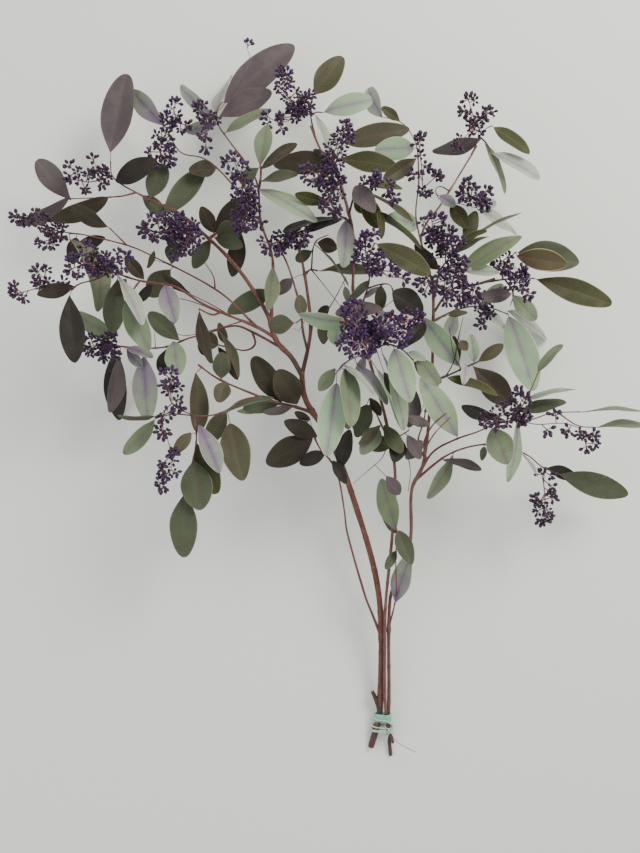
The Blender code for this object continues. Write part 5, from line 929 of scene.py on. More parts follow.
# Where the berries are thick, and where they are looser: left, right, low and high limits
# of each mass on the plane of the stems.
masses = {
    "thick": [(-32, -23, 63.5, 69.5), (-41, -31, 60.5, 67), (-45.5, -38, 65.5, 69.5),
              (-39.3, -33.7, 50, 54), (-30, -25, 46, 50), (-30, -25.5, 75.2, 78.5),
              (-21, -15.7, 66.8, 73.3), (-15.5, -10.3, 83, 88.7), (-11.4, -8.2, 82.5, 85.3),
              (-10, -4, 69, 76), (-7.2, -4.3, 76.5, 81.7), (4.2, 10.8, 57, 69.3), (-6, 5, 50, 57),
              (16, 19.5, 43.3, 47), (-16, -9, 63.8, 68.5), (-3.8, -0.2, 63.5, 67.7)],
    "loose": [(-48, -41, 65, 71), (-41.5, -35, 72, 77.3), (-48, -43, 57.5, 62.3), (-41, -37, 61.2, 66),
              (-28, -25.5, 80, 84.6), (-24.8, -21, 77, 84), (-20.5, -13.5, 73.5, 77.5),
              (-15.9, -13.2, 80, 82.8), (-11, -9, 78.5, 82.6), (-3.3, 1.8, 71, 74.8), (2.8, 6, 76, 80),
              (4.6, 7.6, 72.5, 75), (8.9, 13.9, 75.2, 84.9), (9, 14, 70, 74.2), (-1, 3, 59.7, 63),
              (10, 16, 57, 60.7), (13.2, 19.3, 56.6, 66.8), (-4.8, -2.5, 55.6, 58.3), (-10, -7.8, 60.8, 64),
              (12, 15.5, 41, 44), (24.4, 27, 38.7, 41.8), (18.5, 23, 29.3, 36.6), (-28.3, -25, 34.5, 37.8)],
}
filler = {"gap": 0.36, "stalk": (0.3, 1.0), "lean": (0.1, 0.9), "grown": (0.66, 0.86), "buds": (6, 9),
          "apart": 0.36, "head": 0.85, "slack": 0.5, "share": {"thick": 1.0, "loose": 0.45, "none": 0.12}}


def massAt(p):
    slack = filler["slack"]
    for kind, boxes in masses.items():
        if any(a - slack < p.x < b + slack and c - slack < p.y < d + slack for a, b, c, d in boxes):
            return kind
    return "none"


# Umbels between the others: a steady gap along each axis, golden-angle turns round it, and
# buds spread by the same angle over the front of a ball.
def fillUmbels(node):
    parent, height, seed, count, reach, rows = panicles[node]
    rand = random.Random(seed * 13)
    turn = 0.0
    out = []
    for row in lines[node]:
        steps = len(row) - 1
        n = int(sampleGap * steps / filler["gap"])
        for k in range(n):
            at = (k + rand.random()) / n * steps
            i = min(int(at), steps - 1)
            foot = row[i][2].lerp(row[i + 1][2], at - i)
            run = (row[i + 1][2] - row[i][2]).normalized()
            turn += golden
            way = (atAngle(*squareTo(run), turn) + run * rand.uniform(*filler["lean"])).normalized()
            top = foot + way * reach * rand.uniform(*filler["stalk"])
            side, other = squareTo(way)
            size = rand.randint(*filler["buds"])
            spin = rand.uniform(0, 6)
            fan = [tilted(way, side, other, spin + golden * j, 0.25 + 1.35 * math.sqrt(j / size))
                   for j in range(size)]
            grown = [rand.uniform(*filler["grown"]) for j in range(size)]
            if rand.random() <= filler["share"][massAt(row[i][0])]:
                out.append((foot, top, way, fan, grown, spin))
    return out


# One shape of many.
def joined(shapes):
    verts, faces = [], []
    for points, sides in shapes:
        n = len(verts)
        verts += points
        faces += [tuple(i + n for i in side) for side in sides]
    return verts, faces


for node in panicles:
    heads = []
    for foot, top, way, fan, grown, use in bunches[node].values():
        heads += [top + fan[k] * filler["head"] * grown[k] for k in use]
    for i, one in enumerate(fillUmbels(node)):
        foot, top, way, fan, grown, spin = one
        top, use = fitUmbel(node, one, range(len(fan)))
        chosen = []
        for k in use:
            head = top + fan[k] * filler["head"] * grown[k]
            if all((head - other).length > filler["apart"] for other in heads):
                heads.append(head)
                chosen.append(k)
        if chosen:
            keep(node, joined([budAlone(top, fan[k], grown[k]) for k in chosen]))
            bunches[node][100 + i] = (foot, top, way, fan, grown, chosen)

# Two pale side twigs cross over the heart of the bunch: radius, height, points.
crossTwigs = (
    (0.13, 5.5, [(-1.4, 52.6), (-2.6, 51.6), (-4.6, 50.4), (-6.2, 48.8)]),
    (0.14, 5.5, [(-1.2, 52.9), (0.2, 53.6), (2.0, 55.8), (3.4, 58.2)]),
)
for r, height, points in crossTwigs:
    branch("berries_heart", points, height, r)

# A sprig of four buds that shows past the largest leaf.
sprig = {
    "node": "berries_top_left", "radius": 0.06, "height": -0.4,
    "points": [(-22.3, 82.0), (-20.3, 84.0), (-18.2, 87.0), (-17.3, 89.6), (-17.7, 90.8)],
    "way": (0.35, 0.9, 0.1), "side": (0.9, -0.35, 0.2), "spread": (-1.1, -0.4, 0.3, 1.2), "stalk": 0.3,
    "grown": [0.9, 1.0, 0.95, 0.9],
}
branch(sprig["node"], sprig["points"], sprig["height"], sprig["radius"])
foot = lines[sprig["node"]][-1][-1][2]
way, side = Vector(sprig["way"]).normalized(), Vector(sprig["side"]).normalized()
fan = [(way + side * k).normalized() for k in sprig["spread"]]
bunches[sprig["node"]]["sprig"] = (foot, foot + way * sprig["stalk"], way, fan, sprig["grown"], [0, 1, 2, 3])

# Where the frame's origin lies, from one node's own corner.
solidLow = boxOf([v for limb in solids["stem_left"] for v in limb[0]])[0]
boxLow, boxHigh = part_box("stem_left")
shift = np.array([boxLow[i] - solidLow[i] * cm for i in range(3)])
print("places worked out, shift", shift.round(5))


# Angles of the points of a closed circle.
def circle(sides):
    return np.linspace(0, 2 * math.pi, sides, endpoint=False)


# Distance along a path at each of its points.
def lengthsAlong(path):
    return np.concatenate([[0], np.cumsum(np.linalg.norm(np.diff(path, axis=0), axis=1))])


# Three values for each point of a grid.
def triple(shape, *values):
    return np.stack([np.broadcast_to(value, shape) for value in values], axis=-1)


# Many shapes of one node are gathered as chunks: points, face sets, plan and mark. A face
# set is (faces, finish, smooth). plan holds the place on the surface, and mark a random
# number, the way along and the side.
def chunk(points, faceSets, plan, mark):
    points = np.asarray(points, dtype=float).reshape(-1, 3)
    plan = np.broadcast_to(np.asarray(plan, dtype=float), points.shape)
    mark = np.broadcast_to(np.asarray(mark, dtype=float), points.shape)
    return points, faceSets, plan, mark


# One mesh object of all the chunks of a node, in metres, at its place in the frame.
def pieceFrom(name, chunks, node):
    faces, finishes, smooths, materials = [], [], [], []
    start = 0
    for points, faceSets, plan, mark in chunks:
        for faceSet, finish, smooth in faceSets:
            if finish not in materials:
                materials.append(finish)
            faces += (faceSet + start).tolist()
            finishes += [materials.index(finish)] * len(faceSet)
            smooths += [smooth] * len(faceSet)
        start += len(points)
    points, plan, mark = (np.concatenate([one[i] for one in chunks]) for i in (0, 2, 3))
    mesh = bpy.data.meshes.new(name)
    mesh.from_pydata((points * cm + shift).tolist(), [], faces)
    for finish in materials:
        mesh.materials.append(finishOf(finish))
    mesh.polygons.foreach_set("material_index", finishes)
    mesh.polygons.foreach_set("use_smooth", smooths)
    for label, values in (("plan", plan), ("mark", mark)):
        held = mesh.attributes.new(label, "FLOAT_VECTOR", "POINT")
        held.data.foreach_set("vector", values.astype(np.float32).ravel())
    mesh.validate()
    piece = bpy.data.objects.new(name, mesh)
    bpy.context.scene.collection.objects.link(piece)
    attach(piece, "root")
    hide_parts(node)


# Quads between the rows of a grid; a closed grid joins its last column to its first.
def gridFaces(rows, columns, closed):
    i = np.arange(rows - 1)[:, None]
    j = np.arange(columns if closed else columns - 1)[None, :]
    k = (j + 1) % columns
    a = i * columns + j
    b = i * columns + k
    quads = np.stack([a, b, b + columns, a + columns], axis=-1)
    return quads.reshape(-1, 4)


# Curve through given points: each span is the cubic whose ends have the neighbours' slopes,
# and then each sample moves towards the mean of its neighbours a few times.
def smoothPath(points, step):
    p = np.array([tuple(q) for q in points], dtype=float)
    keep = np.concatenate([[True], np.linalg.norm(np.diff(p, axis=0), axis=1) > 0.02])
    p = p[keep]
    if len(p) < 3:
        n = max(2, int(np.linalg.norm(p[-1] - p[0]) / step) + 1)
        t = np.linspace(0, 1, n)[:, None]
        return p[0] * (1 - t) + p[-1] * t
    before = np.concatenate([[2 * p[0] - p[1]], p[:-1]])
    after = np.concatenate([p[1:], [2 * p[-1] - p[-2]]])
    size = np.linalg.norm(after - before, axis=1, keepdims=True)
    lean = (after - before) / np.maximum(size, 1e-6)
    out = []
    for i in range(len(p) - 1):
        span = np.linalg.norm(p[i + 1] - p[i])
        n = max(1, int(round(span / step)))
        t = (np.arange(n) / n)[:, None]
        h = 2 * t ** 3 - 3 * t ** 2
        bend = (t ** 3 - 2 * t ** 2 + t) * lean[i] * span + (t ** 3 - t ** 2) * lean[i + 1] * span
        out.append(p[i] * (1 + h) - p[i + 1] * h + bend)
    p = np.concatenate(out + [p[-1:]])
    for k in range(3):
        p[1:-1] = 0.25 * p[:-2] + 0.5 * p[1:-1] + 0.25 * p[2:]
    return p


# Unit tangents of a path and two unit vectors square to them, from one fixed direction.
def framesAlong(path):
    tangent = np.gradient(path, axis=0)
    tangent /= np.linalg.norm(tangent, axis=1, keepdims=True)
    mean = np.abs(tangent).mean(axis=0)
    fixed = np.eye(3)[int(np.argmin(mean))]
    side = np.cross(tangent, fixed)
    side /= np.linalg.norm(side, axis=1, keepdims=True)
    return tangent, side, np.cross(tangent, side)


# Round skin along a path: a circle of the given radius is carried along it, and a
# flattened cone closes each end. ripple is added to the radius, row by column.
def skinAlong(path, radius, sides, finish, seed, endFinish=None, ripple=0.0):
    tangent, side, other = framesAlong(path)
    rows = len(path)
    radius = np.broadcast_to(np.asarray(radius, dtype=float), (rows,))
    cosine, sine = np.cos(circle(sides))[None, :], np.sin(circle(sides))[None, :]
    ring = side[:, None, :] * cosine[..., None] + other[:, None, :] * sine[..., None]
    reach = radius[:, None] + np.broadcast_to(ripple, (rows, sides))
    points = (path[:, None, :] + ring * reach[..., None]).reshape(-1, 3)
    along = lengthsAlong(path)
    plan = triple((rows, sides), radius[:, None] * cosine, radius[:, None] * sine, along[:, None])
    mark = triple((rows, sides), seed, (along / along[-1])[:, None], 0)
    faceSets = [(gridFaces(rows, sides, True), finish, True)]
    k = np.arange(sides)
    for last, way in ((0, -1), (rows - 1, 1)):
        tip = path[last] + tangent[last] * way * radius[last] * 0.25
        corners = (k + last * sides, (k + 1) % sides + last * sides, np.full(sides, len(points)))
        fan = np.stack(corners, axis=1)
        points = np.concatenate([points, tip[None]])
        faceSets.append((fan if way > 0 else fan[:, ::-1], endFinish or finish, False))
    plan = np.concatenate([plan.reshape(-1, 3), [(0, 0, along[0]), (0, 0, along[-1])]])
    mark = np.concatenate([mark.reshape(-1, 3), [(seed, 0, 0), (seed, 1, 0)]])
    return [chunk(points, faceSets, plan, mark)]


# Leaf blade on a grid: t runs from base to tip, closer at both ends, and v from edge to
# edge. The half width is a sine of a power of t, raised to a power that falls towards the
# tip, so the tip is rounder than the base. The two halves fold up from the midrib, the edge
# waves, the blade twists about its line, and the line arches as the solid does.
blade = {
    "rows": 20, "columns": (-1, -0.95, -0.66, -0.34, -0.09, 0, 0.09, 0.34, 0.66, 0.95, 1),
    "edgeThick": 0.022, "ribThick": 0.055, "ribHalf": 0.07, "grooveDeep": 0.02, "grooveHalf": 0.06,
    "fold": (0.04, 0.24), "twist": 0.45, "wave": 0.05, "waves": 7.5, "fullest": (0.84, 1.22),
    "baseRound": (0.78, 1.0), "tipRound": (0.46, 0.62), "neck": 0.045, "least": 0.012,
}


def bladeOf(fit, finish, seed, rand):
    root, fat, base, tip, seen, roll, bow = fit
    base, tip = np.array(tuple(base)), np.array(tuple(tip))
    axis = tip - base
    length = np.linalg.norm(axis)
    along = axis / length
    side = np.cross(along, (0, 0, 1))
    side /= np.linalg.norm(side)
    normal = np.cross(side, along)
    natural = max(seen, min(leafRule["widest"] * length, leafRule["limit"]))
    angle = math.acos(min(1.0, seen / natural)) * roll
    flat = side * math.cos(angle) + normal * math.sin(angle)
    up = np.cross(along, flat)
    up = up if up[2] > 0 else -up
    t = 0.5 - 0.5 * np.cos(np.linspace(0, math.pi, blade["rows"]))[:, None]
    v = np.array(blade["columns"])[None, :]
    fullest = rand.uniform(*blade["fullest"])
    first, last = rand.uniform(*blade["baseRound"]), rand.uniform(*blade["tipRound"])
    shape = np.abs(np.sin(math.pi * t ** fullest)) ** (first + (last - first) * t)
    half = 0.5 * natural * shape + blade["neck"] * (1 - t) + blade["least"]
    arch = 4 * t * (1 - t)
    turn = rand.uniform(-1, 1) * blade["twist"] * (t - 0.5)
    across = flat * np.cos(turn)[..., None] + up * np.sin(turn)[..., None]
    above = up * np.cos(turn)[..., None] - flat * np.sin(turn)[..., None]
    line = base + axis * t[..., None] + up * (arch * leafRule["arch"] * length)[..., None]
    line = line + side * (arch * bow * length)[..., None]
    fold = rand.uniform(*blade["fold"])
    phase = blade["waves"] * t + rand.uniform(0, 6) + 1.2 * v
    wave = blade["wave"] * natural * v ** 2 * np.sin(phase) * shape
    groove = blade["grooveDeep"] * np.exp(-(v * half / blade["grooveHalf"]) ** 2) * (1 - t)
    lift = fold * (np.abs(v) - 0.4) * half + wave - groove
    top = line + across * (v * half)[..., None] + above * lift[..., None]
    rib = blade["ribThick"] * (1 - 0.8 * t) * np.exp(-(v * half / blade["ribHalf"]) ** 2)
    under = top - above * (blade["edgeThick"] + rib)[..., None]
    rows, columns = shape = top.shape[:2]
    plan = triple(shape, t * length, v * half, np.abs(v)).reshape(-1, 3)
    marks = [triple(shape, seed, t, below).reshape(-1, 3) for below in (0, 1)]
    count = rows * columns
    quads = gridFaces(rows, columns, False)
    grid = np.arange(count).reshape(rows, columns)
    rim = np.concatenate([grid[0, :], grid[1:, -1], grid[-1, -2::-1], grid[-2:0:-1, 0]])
    ahead = np.roll(rim, -1)
    edge = np.stack([rim, rim + count, ahead + count, ahead], axis=1)
    if np.dot(np.cross(flat, along), up) < 0:
        quads, edge = quads[:, ::-1], edge[:, ::-1]
    faceSets = [(quads, finish, True), (quads[:, ::-1] + count, finish, True), (edge, finish, False)]
    points = np.concatenate([top.reshape(-1, 3), under.reshape(-1, 3)])
    return [chunk(points, faceSets, np.tile(plan, (2, 1)), np.concatenate(marks))]


# Leaf stalk: a thin tapering skin from the twig to a little way up the blade, thick where it
# leaves the twig.
leafStalk = {"radius": 0.055, "foot": 0.8, "fall": 9, "taper": 0.02, "sag": 0.04, "overlap": 0.08, "sides": 6}
lineStep = 0.3  # between the rings of a twig's skin


def stalkOf(node, fit, finish, seed):
    root, fat, base, tip, seen, roll, bow = fit
    root = Vector(snapped(node, root))
    rise = root.lerp(base, 0.5) + Vector((0, 0, leafStalk["sag"]))
    end = base + (tip - base).normalized() * (tip - base).length * leafStalk["overlap"]
    path = smoothPath([root, rise, base, end], lineStep)
    t = np.linspace(0, 1, len(path))
    thin = leafStalk["radius"]
    radius = thin + (fat * leafStalk["foot"] - thin) * np.exp(-t * leafStalk["fall"]) - leafStalk["taper"] * t
    return skinAlong(path, radius, leafStalk["sides"], finish, seed)


# Buds of one panicle, all at once: a pear-shaped profile (way along, radius) is turned
# about each bud's own direction and set on its hub. The cap above the scar ring is a cone.
bud = {
    "sides": 6, "hub": 0.05, "sunk": 0.02, "tip": 1.1,
    "profile": ((0.0, 0.04), (0.40, 0.055), (0.52, 0.15), (0.67, 0.225), (0.84, 0.23), (0.97, 0.17),
                (1.06, 0.08)),
}


def budsOf(hubs, ways, sizes, seeds):
    count = len(hubs)
    hubs, ways = np.array(hubs), np.array(ways)
    sizes, seeds = np.array(sizes)[:, None], np.array(seeds)
    fixed = np.where(np.abs(ways[:, 2:3]) < 0.8, np.array([[0, 0, 1.0]]), np.array([[1.0, 0, 0]]))
    side = np.cross(ways, fixed)
    side /= np.linalg.norm(side, axis=1, keepdims=True)
    other = np.cross(ways, side)
    profile = np.array(bud["profile"])
    rows, sides = len(profile), bud["sides"]
    cosine, sine = np.cos(circle(sides)), np.sin(circle(sides))
    ring = side[:, None, :] * cosine[None, :, None] + other[:, None, :] * sine[None, :, None]
    up = hubs[:, None, :] + ways[:, None, :] * (profile[:, 0][None, :, None] * sizes[..., None])
    out = ring[:, None, :, :] * (profile[:, 1][None, :, None, None] * sizes[..., None, None])
    rings = (up[:, :, None, :] + out).reshape(count, -1, 3)
    ends = np.stack([hubs - ways * bud["sunk"], hubs + ways * bud["tip"] * sizes], axis=1)
    points = np.concatenate([rings, ends], axis=1)
    each = rows * sides + 2
    plan = np.zeros((each, 3))
    plan[:-2] = triple((rows, sides), cosine, sine, profile[:, :1]).reshape(-1, 3)
    plan[-1, 2] = bud["tip"]
    mark = triple((count, each), seeds[:, None], plan[:, 2] / bud["tip"], 0)
    k = np.arange(sides)
    low = np.stack([(k + 1) % sides, k, np.full(sides, rows * sides)], axis=1)
    first = (rows - 1) * sides
    high = np.stack([first + k, first + (k + 1) % sides, np.full(sides, rows * sides + 1)], axis=1)
    starts = (np.arange(count) * each)[:, None, None]
    shapes = (gridFaces(rows, sides, True), low, high)
    faceSets = [((shape[None] + starts).reshape(-1, shape.shape[1]), "bud", True) for shape in shapes]
    return [chunk(points, faceSets, np.tile(plan, (count, 1)), mark.reshape(-1, 3))]


# Smooth lines of all the wood, each started on the line that it grew from.
runs = {}


# The point of a node's lines that is closest to q.
def snapped(node, q):
    points = np.concatenate(runs[node])
    return points[np.argmin(np.linalg.norm(points - np.array(tuple(q)), axis=1))]


# The left stem has a short dark stub, low down.
stub = {"r0": 0.40, "r1": 0.25, "path": [(-0.5, 5.2, -10.9), (-0.9, 6.5, -10.75), (-1.55, 7.9, -10.6)]}
wood["stem_left"].append(([place(*q) for q in stub["path"]], stub["r0"], stub["r1"]))
for node in list(stems) + order + list(panicles):
    runs[node] = []
    parent = (sprays.get(node) or panicles.get(node) or (None,))[0]
    for i, (path, r0, r1) in enumerate(wood[node]):
        first = path[0] if node in stems else snapped(node if i else parent, path[0])
        runs[node].append(smoothPath([first] + path[1:], lineStep))


# Stalks of a panicle, and how violet its buds can be: the outer panicles have near-black
# buds, and in the heart many are ripe and a few show an orange cap.
panicleSkin = {
    "axis": 0.9, "axisSides": 7, "sides": 6, "thin": 0.062, "thick": 0.075, "end": 0.06, "sag": 0.03,
    "sunk": 0.06, "step": 0.25, "ripest": 0.99, "darkest": 0.58, "heartPower": 0.25,
    "dark": ("berries_far_left", "berries_left_crown", "berries_left_wing", "berries_crown_right",
             "berries_right_low", "berries_right_hang", "berries_high"),
}


# The solids' umbels come first in the same order, then the ones that only the looks have.
def panicleOf(node):
    rand = random.Random(panicles[node][2] * 7)
    skin, heart = panicleSkin, node == "berries_heart"
    finish = "stalkPale" if heart else "stalkPink"
    ripest = skin["darkest"] if node in skin["dark"] else skin["ripest"]
    made = []
    for line, (path, r0, r1) in zip(runs[node], wood[node]):
        radius = np.linspace(r0 * skin["axis"], r1 * skin["axis"], len(line))
        made += skinAlong(line, radius, skin["axisSides"], finish, rand.random())
    hubs, ways, sizes, seeds = [], [], [], []
    for foot, top, way, fan, grown, use in bunches[node].values():
        foot = Vector(snapped(node, foot))
        droop = foot.lerp(top, 0.5) - Vector((0, 0, skin["sag"]))
        line = smoothPath([foot, droop, top + way * skin["sunk"]], skin["step"])
        radius = np.linspace(skin["thin"], skin["thick"], len(line))
        radius[-1] = skin["end"]
        made += skinAlong(line, radius, skin["sides"], finish, rand.random())
        for k in use:
            hubs.append(tuple(top + fan[k] * bud["hub"]))
            ways.append(tuple(fan[k]))
            sizes.append(grown[k])
            seeds.append(rand.random() ** skin["heartPower"] if heart else rand.uniform(0, ripest))
    return made + budsOf(hubs, ways, sizes, seeds)


# Radius that swells near some spots, as a bell curve of the distance.
def swollen(line, radius, spots, gain, half):
    spots = np.array([tuple(q) for q in spots])
    near = np.linalg.norm(line[:, None, :] - spots[None, :, :], axis=2).min(axis=1)
    return radius * (1 + gain * np.exp(-(near / half) ** 2))


# Twigs of a spray: a smooth skin with a slow uneven swelling, a knuckle at each leaf and a
# flare at the foot.
twigSkin = {"sides": 8, "swell": 0.10, "knuckle": 0.35, "knuckleHalf": 0.35, "flare": 0.5, "flareRun": 2.5}


def twigsOf(node, finish, rand):
    made = []
    roots = [fit[0] for fit, tone in leafFits[node]]
    for line, (path, r0, r1) in zip(runs[node], wood[node]):
        t = np.linspace(0, 1, len(line))
        radius = r0 + (r1 - r0) * t
        radius = radius * (1 + twigSkin["swell"] * np.sin(t * 19 + rand.uniform(0, 6)) * np.sin(t * 7))
        radius = swollen(line, radius, roots, twigSkin["knuckle"], twigSkin["knuckleHalf"])
        radius = radius * (1 + twigSkin["flare"] * np.exp(-t * len(t) * lineStep / twigSkin["flareRun"]))
        made += skinAlong(line, radius, twigSkin["sides"], finish, rand.random())
    return made


# Woody stems: the skin has long shallow flutes, swells where a twig leaves it and at the
# scars of old leaves, and its cut end shows pale wood.
stemSkin = {
    "sides": 16, "firstScar": 8.0, "scarGap": (3.2, 7.5), "scar": 0.14, "scarHalf": 0.22, "flute": 0.035,
    "swell": 0.05, "joint": 0.28, "jointHalf": 0.6,
}


def stemOf(node, finish, rand):
    made = []
    feet = [q for parent, q in joints if parent == node]
    turn = circle(stemSkin["sides"])[None, :]
    for i, (path, r0, r1) in enumerate(wood[node]):
        line = runs[node][i]
        t = np.linspace(0, 1, len(line))
        length = len(line) * lineStep
        radius = r0 + (r1 - r0) * t
        radius = radius * (1 + stemSkin["swell"] * np.sin(t * length * 0.9) * np.sin(t * length * 0.23))
        radius = swollen(line, radius, feet, stemSkin["joint"], stemSkin["jointHalf"])
        at = stemSkin["firstScar"]
        while at < length:
            far = (t * length - at) / stemSkin["scarHalf"]
            radius = radius * (1 + stemSkin["scar"] * np.exp(-far ** 2))
            at += rand.uniform(*stemSkin["scarGap"])
        twist = (t * length * 0.05)[:, None]
        waves = np.sin(3 * turn + twist) + 0.6 * np.sin(7 * turn - twist * 2)
        flute = stemSkin["flute"] * radius[:, None] * waves
        own = "stubBark" if i >= len(stems[node]) else finish
        made += skinAlong(line, radius, stemSkin["sides"], own, rand.random(), "cutWood", flute)
    return made


# Outline of the three stems at a height along them, pushed out by a distance: for each
# direction the stem that reaches furthest gives the point.
def wrapRing(y, out, sides):
    discs = []
    for stem in stems:
        for (p, r, a), (q, t, b) in zip(lines[stem][0], lines[stem][0][1:]):
            if a.y <= y <= b.y:
                mid = a.lerp(b, (y - a.y) / (b.y - a.y))
                discs.append((mid.x, mid.z, r))
                break
    discs = np.array(discs)
    way = np.stack([np.cos(circle(sides)), np.sin(circle(sides))], axis=1)
    far = np.argmax(discs[:, :2] @ way.T + discs[:, 2:3], axis=0)
    flat = discs[far, :2] + way * (discs[far, 2] + out)[:, None]
    return np.stack([flat[:, 0], np.full(sides, y), flat[:, 1]], axis=1)


# Mint band: a strip wound round the stems. Its skin runs up the outside and back down the
# inside, with soft creases from a sine of the turn and the height.
band = {"sides": 96, "rows": 12, "gap": 0.075, "thick": 0.10, "thinEdge": 0.45, "crease": 0.018}


def bandOf():
    heights = np.linspace(bandLow, bandHigh, band["rows"])
    turn = circle(band["sides"])
    rings = []
    for i, y in enumerate(heights):
        t = i / (band["rows"] - 1)
        thick = band["thick"] * (1 - band["thinEdge"] * abs(2 * t - 1) ** 6)
        crease = band["crease"] * (np.sin(9 * turn + 5 * t) + np.sin(23 * turn - 3 * t))
        ring = wrapRing(y, band["gap"] + thick, band["sides"])
        out = ring - ring.mean(axis=0)
        out /= np.linalg.norm(out, axis=1, keepdims=True)
        rings.append(ring + out * crease[:, None])
    back = [heights[-1], heights[0]]
    points = np.stack(rings + [wrapRing(y, band["gap"], band["sides"]) for y in back])
    rows = len(points)
    faces = gridFaces(rows + 1, band["sides"], True) % (rows * band["sides"])
    plan = triple(points.shape[:2], np.cos(turn), np.sin(turn), np.concatenate([heights, back])[:, None])
    return [chunk(points, [(faces[:, ::-1], "mintBand", True)], plan.reshape(-1, 3), (0.5, 0.5, 0))]


# String: a two-strand cord. The radius has two lobes that turn along the cord. It has loose
# tilted turns, a part that crosses the tape, two tails and a knot on top.
twine = {
    "radius": 0.095, "lobe": 0.16, "lay": 5.0, "sides": 8, "turns": 3, "tilt": 0.16, "wander": 2.2,
    "around": 64, "step": 0.1, "short": 0.15, "knotSize": 0.1, "knotLift": 0.05,
    "tails": (([(-0.5, -1.0, 0.35), (-0.4, -2.6, 0.2)], 0.4), ([(1.1, -1.5, 0.6), (3.6, -2.9, 0.4)], 0.6)),
}


def cordOf(path, seed):
    radius, sides = twine["radius"], twine["sides"]
    turn = 2 * circle(sides)[None, :] - lengthsAlong(path)[:, None] * twine["lay"]
    return skinAlong(path, radius, sides, "stringGreen", seed, None, radius * twine["lobe"] * np.cos(turn))


def stringOf():
    radius, sides, turns = twine["radius"], twine["around"], twine["turns"]
    low, high = stringLow + radius, stringHigh - radius
    winds, across = [], []
    for k in range(turns * sides + 1):
        turn = k / sides
        lean = math.sin(2 * math.pi * turn + twine["wander"] * int(turn)) * math.sin(math.pi * turn / turns)
        y = low + (high - low) * k / (turns * sides) + twine["tilt"] * lean
        winds.append(wrapRing(y, band["gap"] + radius, sides)[k % sides])
    made = cordOf(smoothPath(winds, twine["step"]), 0.2)
    for k in range(sides // 2 + 1):
        y = high + (bandHigh - twine["short"] - high) * k / (sides // 2)
        across.append(wrapRing(y, band["gap"] + band["thick"] + radius * 1.3, sides)[k])
    made += cordOf(np.array(across), 0.9)
    middle = 0.5 * (stringLow + stringHigh)
    peak = max(wrapRing(middle, 0.24, 40), key=lambda q: q[2])
    knot = Vector((peak[0], middle, peak[2] + 0.02))
    for points, seed in twine["tails"]:
        made += cordOf(smoothPath([knot] + [knot + Vector(q) for q in points], twine["step"]), seed)
    t = np.linspace(0, 2 * math.pi, 90)
    loops = (np.sin(t) + 2 * np.sin(2 * t), 0.8 * np.cos(t) - 1.6 * np.cos(2 * t), -np.sin(3 * t))
    centred = np.array(tuple(knot)) + np.stack(loops, axis=1) * twine["knotSize"]
    return made + cordOf(centred + np.array((0, 0, twine["knotLift"])), 0.8)


# Materials. Colours are given as they look on a screen, 0 to 255, and made linear here.
def colour(r, g, b):
    screen = np.array([r, g, b]) / 255
    linear = np.where(screen <= 0.04045, screen / 12.92, ((screen + 0.055) / 1.055) ** 2.4)
    return (*linear.tolist(), 1)


# Adds a node; each input is a value or the socket that feeds it.
def addNode(tree, kind, inputs=None, **settings):
    made = tree.nodes.new(kind)
    for key, value in settings.items():
        setattr(made, key, value)
    for key, value in (inputs or {}).items():
        if isinstance(value, bpy.types.NodeSocket):
            tree.links.new(value, made.inputs[key])
        else:
            made.inputs[key].default_value = value
    return made


def mathOf(tree, operation, first, second=0.0):
    return addNode(tree, "ShaderNodeMath", {0: first, 1: second}, operation=operation).outputs[0]


def timesOf(tree, first, second):
    return mathOf(tree, "MULTIPLY", first, second)


def sumOf(tree, total, *values):
    for value in values:
        total = mathOf(tree, "ADD", total, value)
    return total


# Distance of a value from a middle one.
def farOf(tree, value, middle):
    return mathOf(tree, "ABSOLUTE", mathOf(tree, "SUBTRACT", value, middle))


def vectorOf(tree, x, y, z=0.0):
    return addNode(tree, "ShaderNodeCombineXYZ", {0: x, 1: y, 2: z}).outputs[0]


def partsOf(tree, vector):
    return addNode(tree, "ShaderNodeSeparateXYZ", {0: vector}).outputs


# Smooth step of a value from one end to the other.
def stepOf(tree, value, low, high, first=0.0, last=1.0):
    inputs = {"Value": value, "From Min": low, "From Max": high, "To Min": first, "To Max": last}
    return addNode(tree, "ShaderNodeMapRange", inputs, interpolation_type="SMOOTHSTEP").outputs[0]


# A smooth peak of 1 where a value is near a middle one.
def peakOf(tree, value, middle, full, gone):
    return stepOf(tree, farOf(tree, value, middle), full, gone, 1.0, 0.0)


def mixOf(tree, factor, first, second):
    return addNode(tree, "ShaderNodeMix", {0: factor, 6: first, 7: second}, data_type="RGBA").outputs[2]


# Mixes two screen colours.
def blendOf(tree, factor, first, second):
    return mixOf(tree, factor, colour(*first), colour(*second))


# Lays tints over a paint, each where its mask is and with its strength.
def layersOf(tree, paint, layers):
    for mask, strength, tint in layers:
        paint = mixOf(tree, timesOf(tree, mask, strength), paint, colour(*tint))
    return paint


def noiseOf(tree, vector, scale, detail=3.0, rough=0.55):
    inputs = {"Vector": vector, "Scale": scale, "Detail": detail, "Roughness": rough}
    return addNode(tree, "ShaderNodeTexNoise", inputs).outputs[0]


# Node group that takes the plan and some values. Its results go out when it is closed.
def openGroup(name, values):
    tree = bpy.data.node_groups.new(name, "ShaderNodeTree")
    tree.interface.new_socket("Plan", in_out="INPUT", socket_type="NodeSocketVector")
    for label, value in values.items():
        tree.interface.new_socket(label, in_out="INPUT", socket_type="NodeSocketFloat").default_value = value
    return tree, addNode(tree, "NodeGroupInput").outputs


def closeGroup(tree, results):
    for label in results:
        tree.interface.new_socket(label, in_out="OUTPUT", socket_type="NodeSocketFloat")
    out = addNode(tree, "NodeGroupOutput")
    for label, value in results.items():
        tree.links.new(value, out.inputs[label])
    return tree


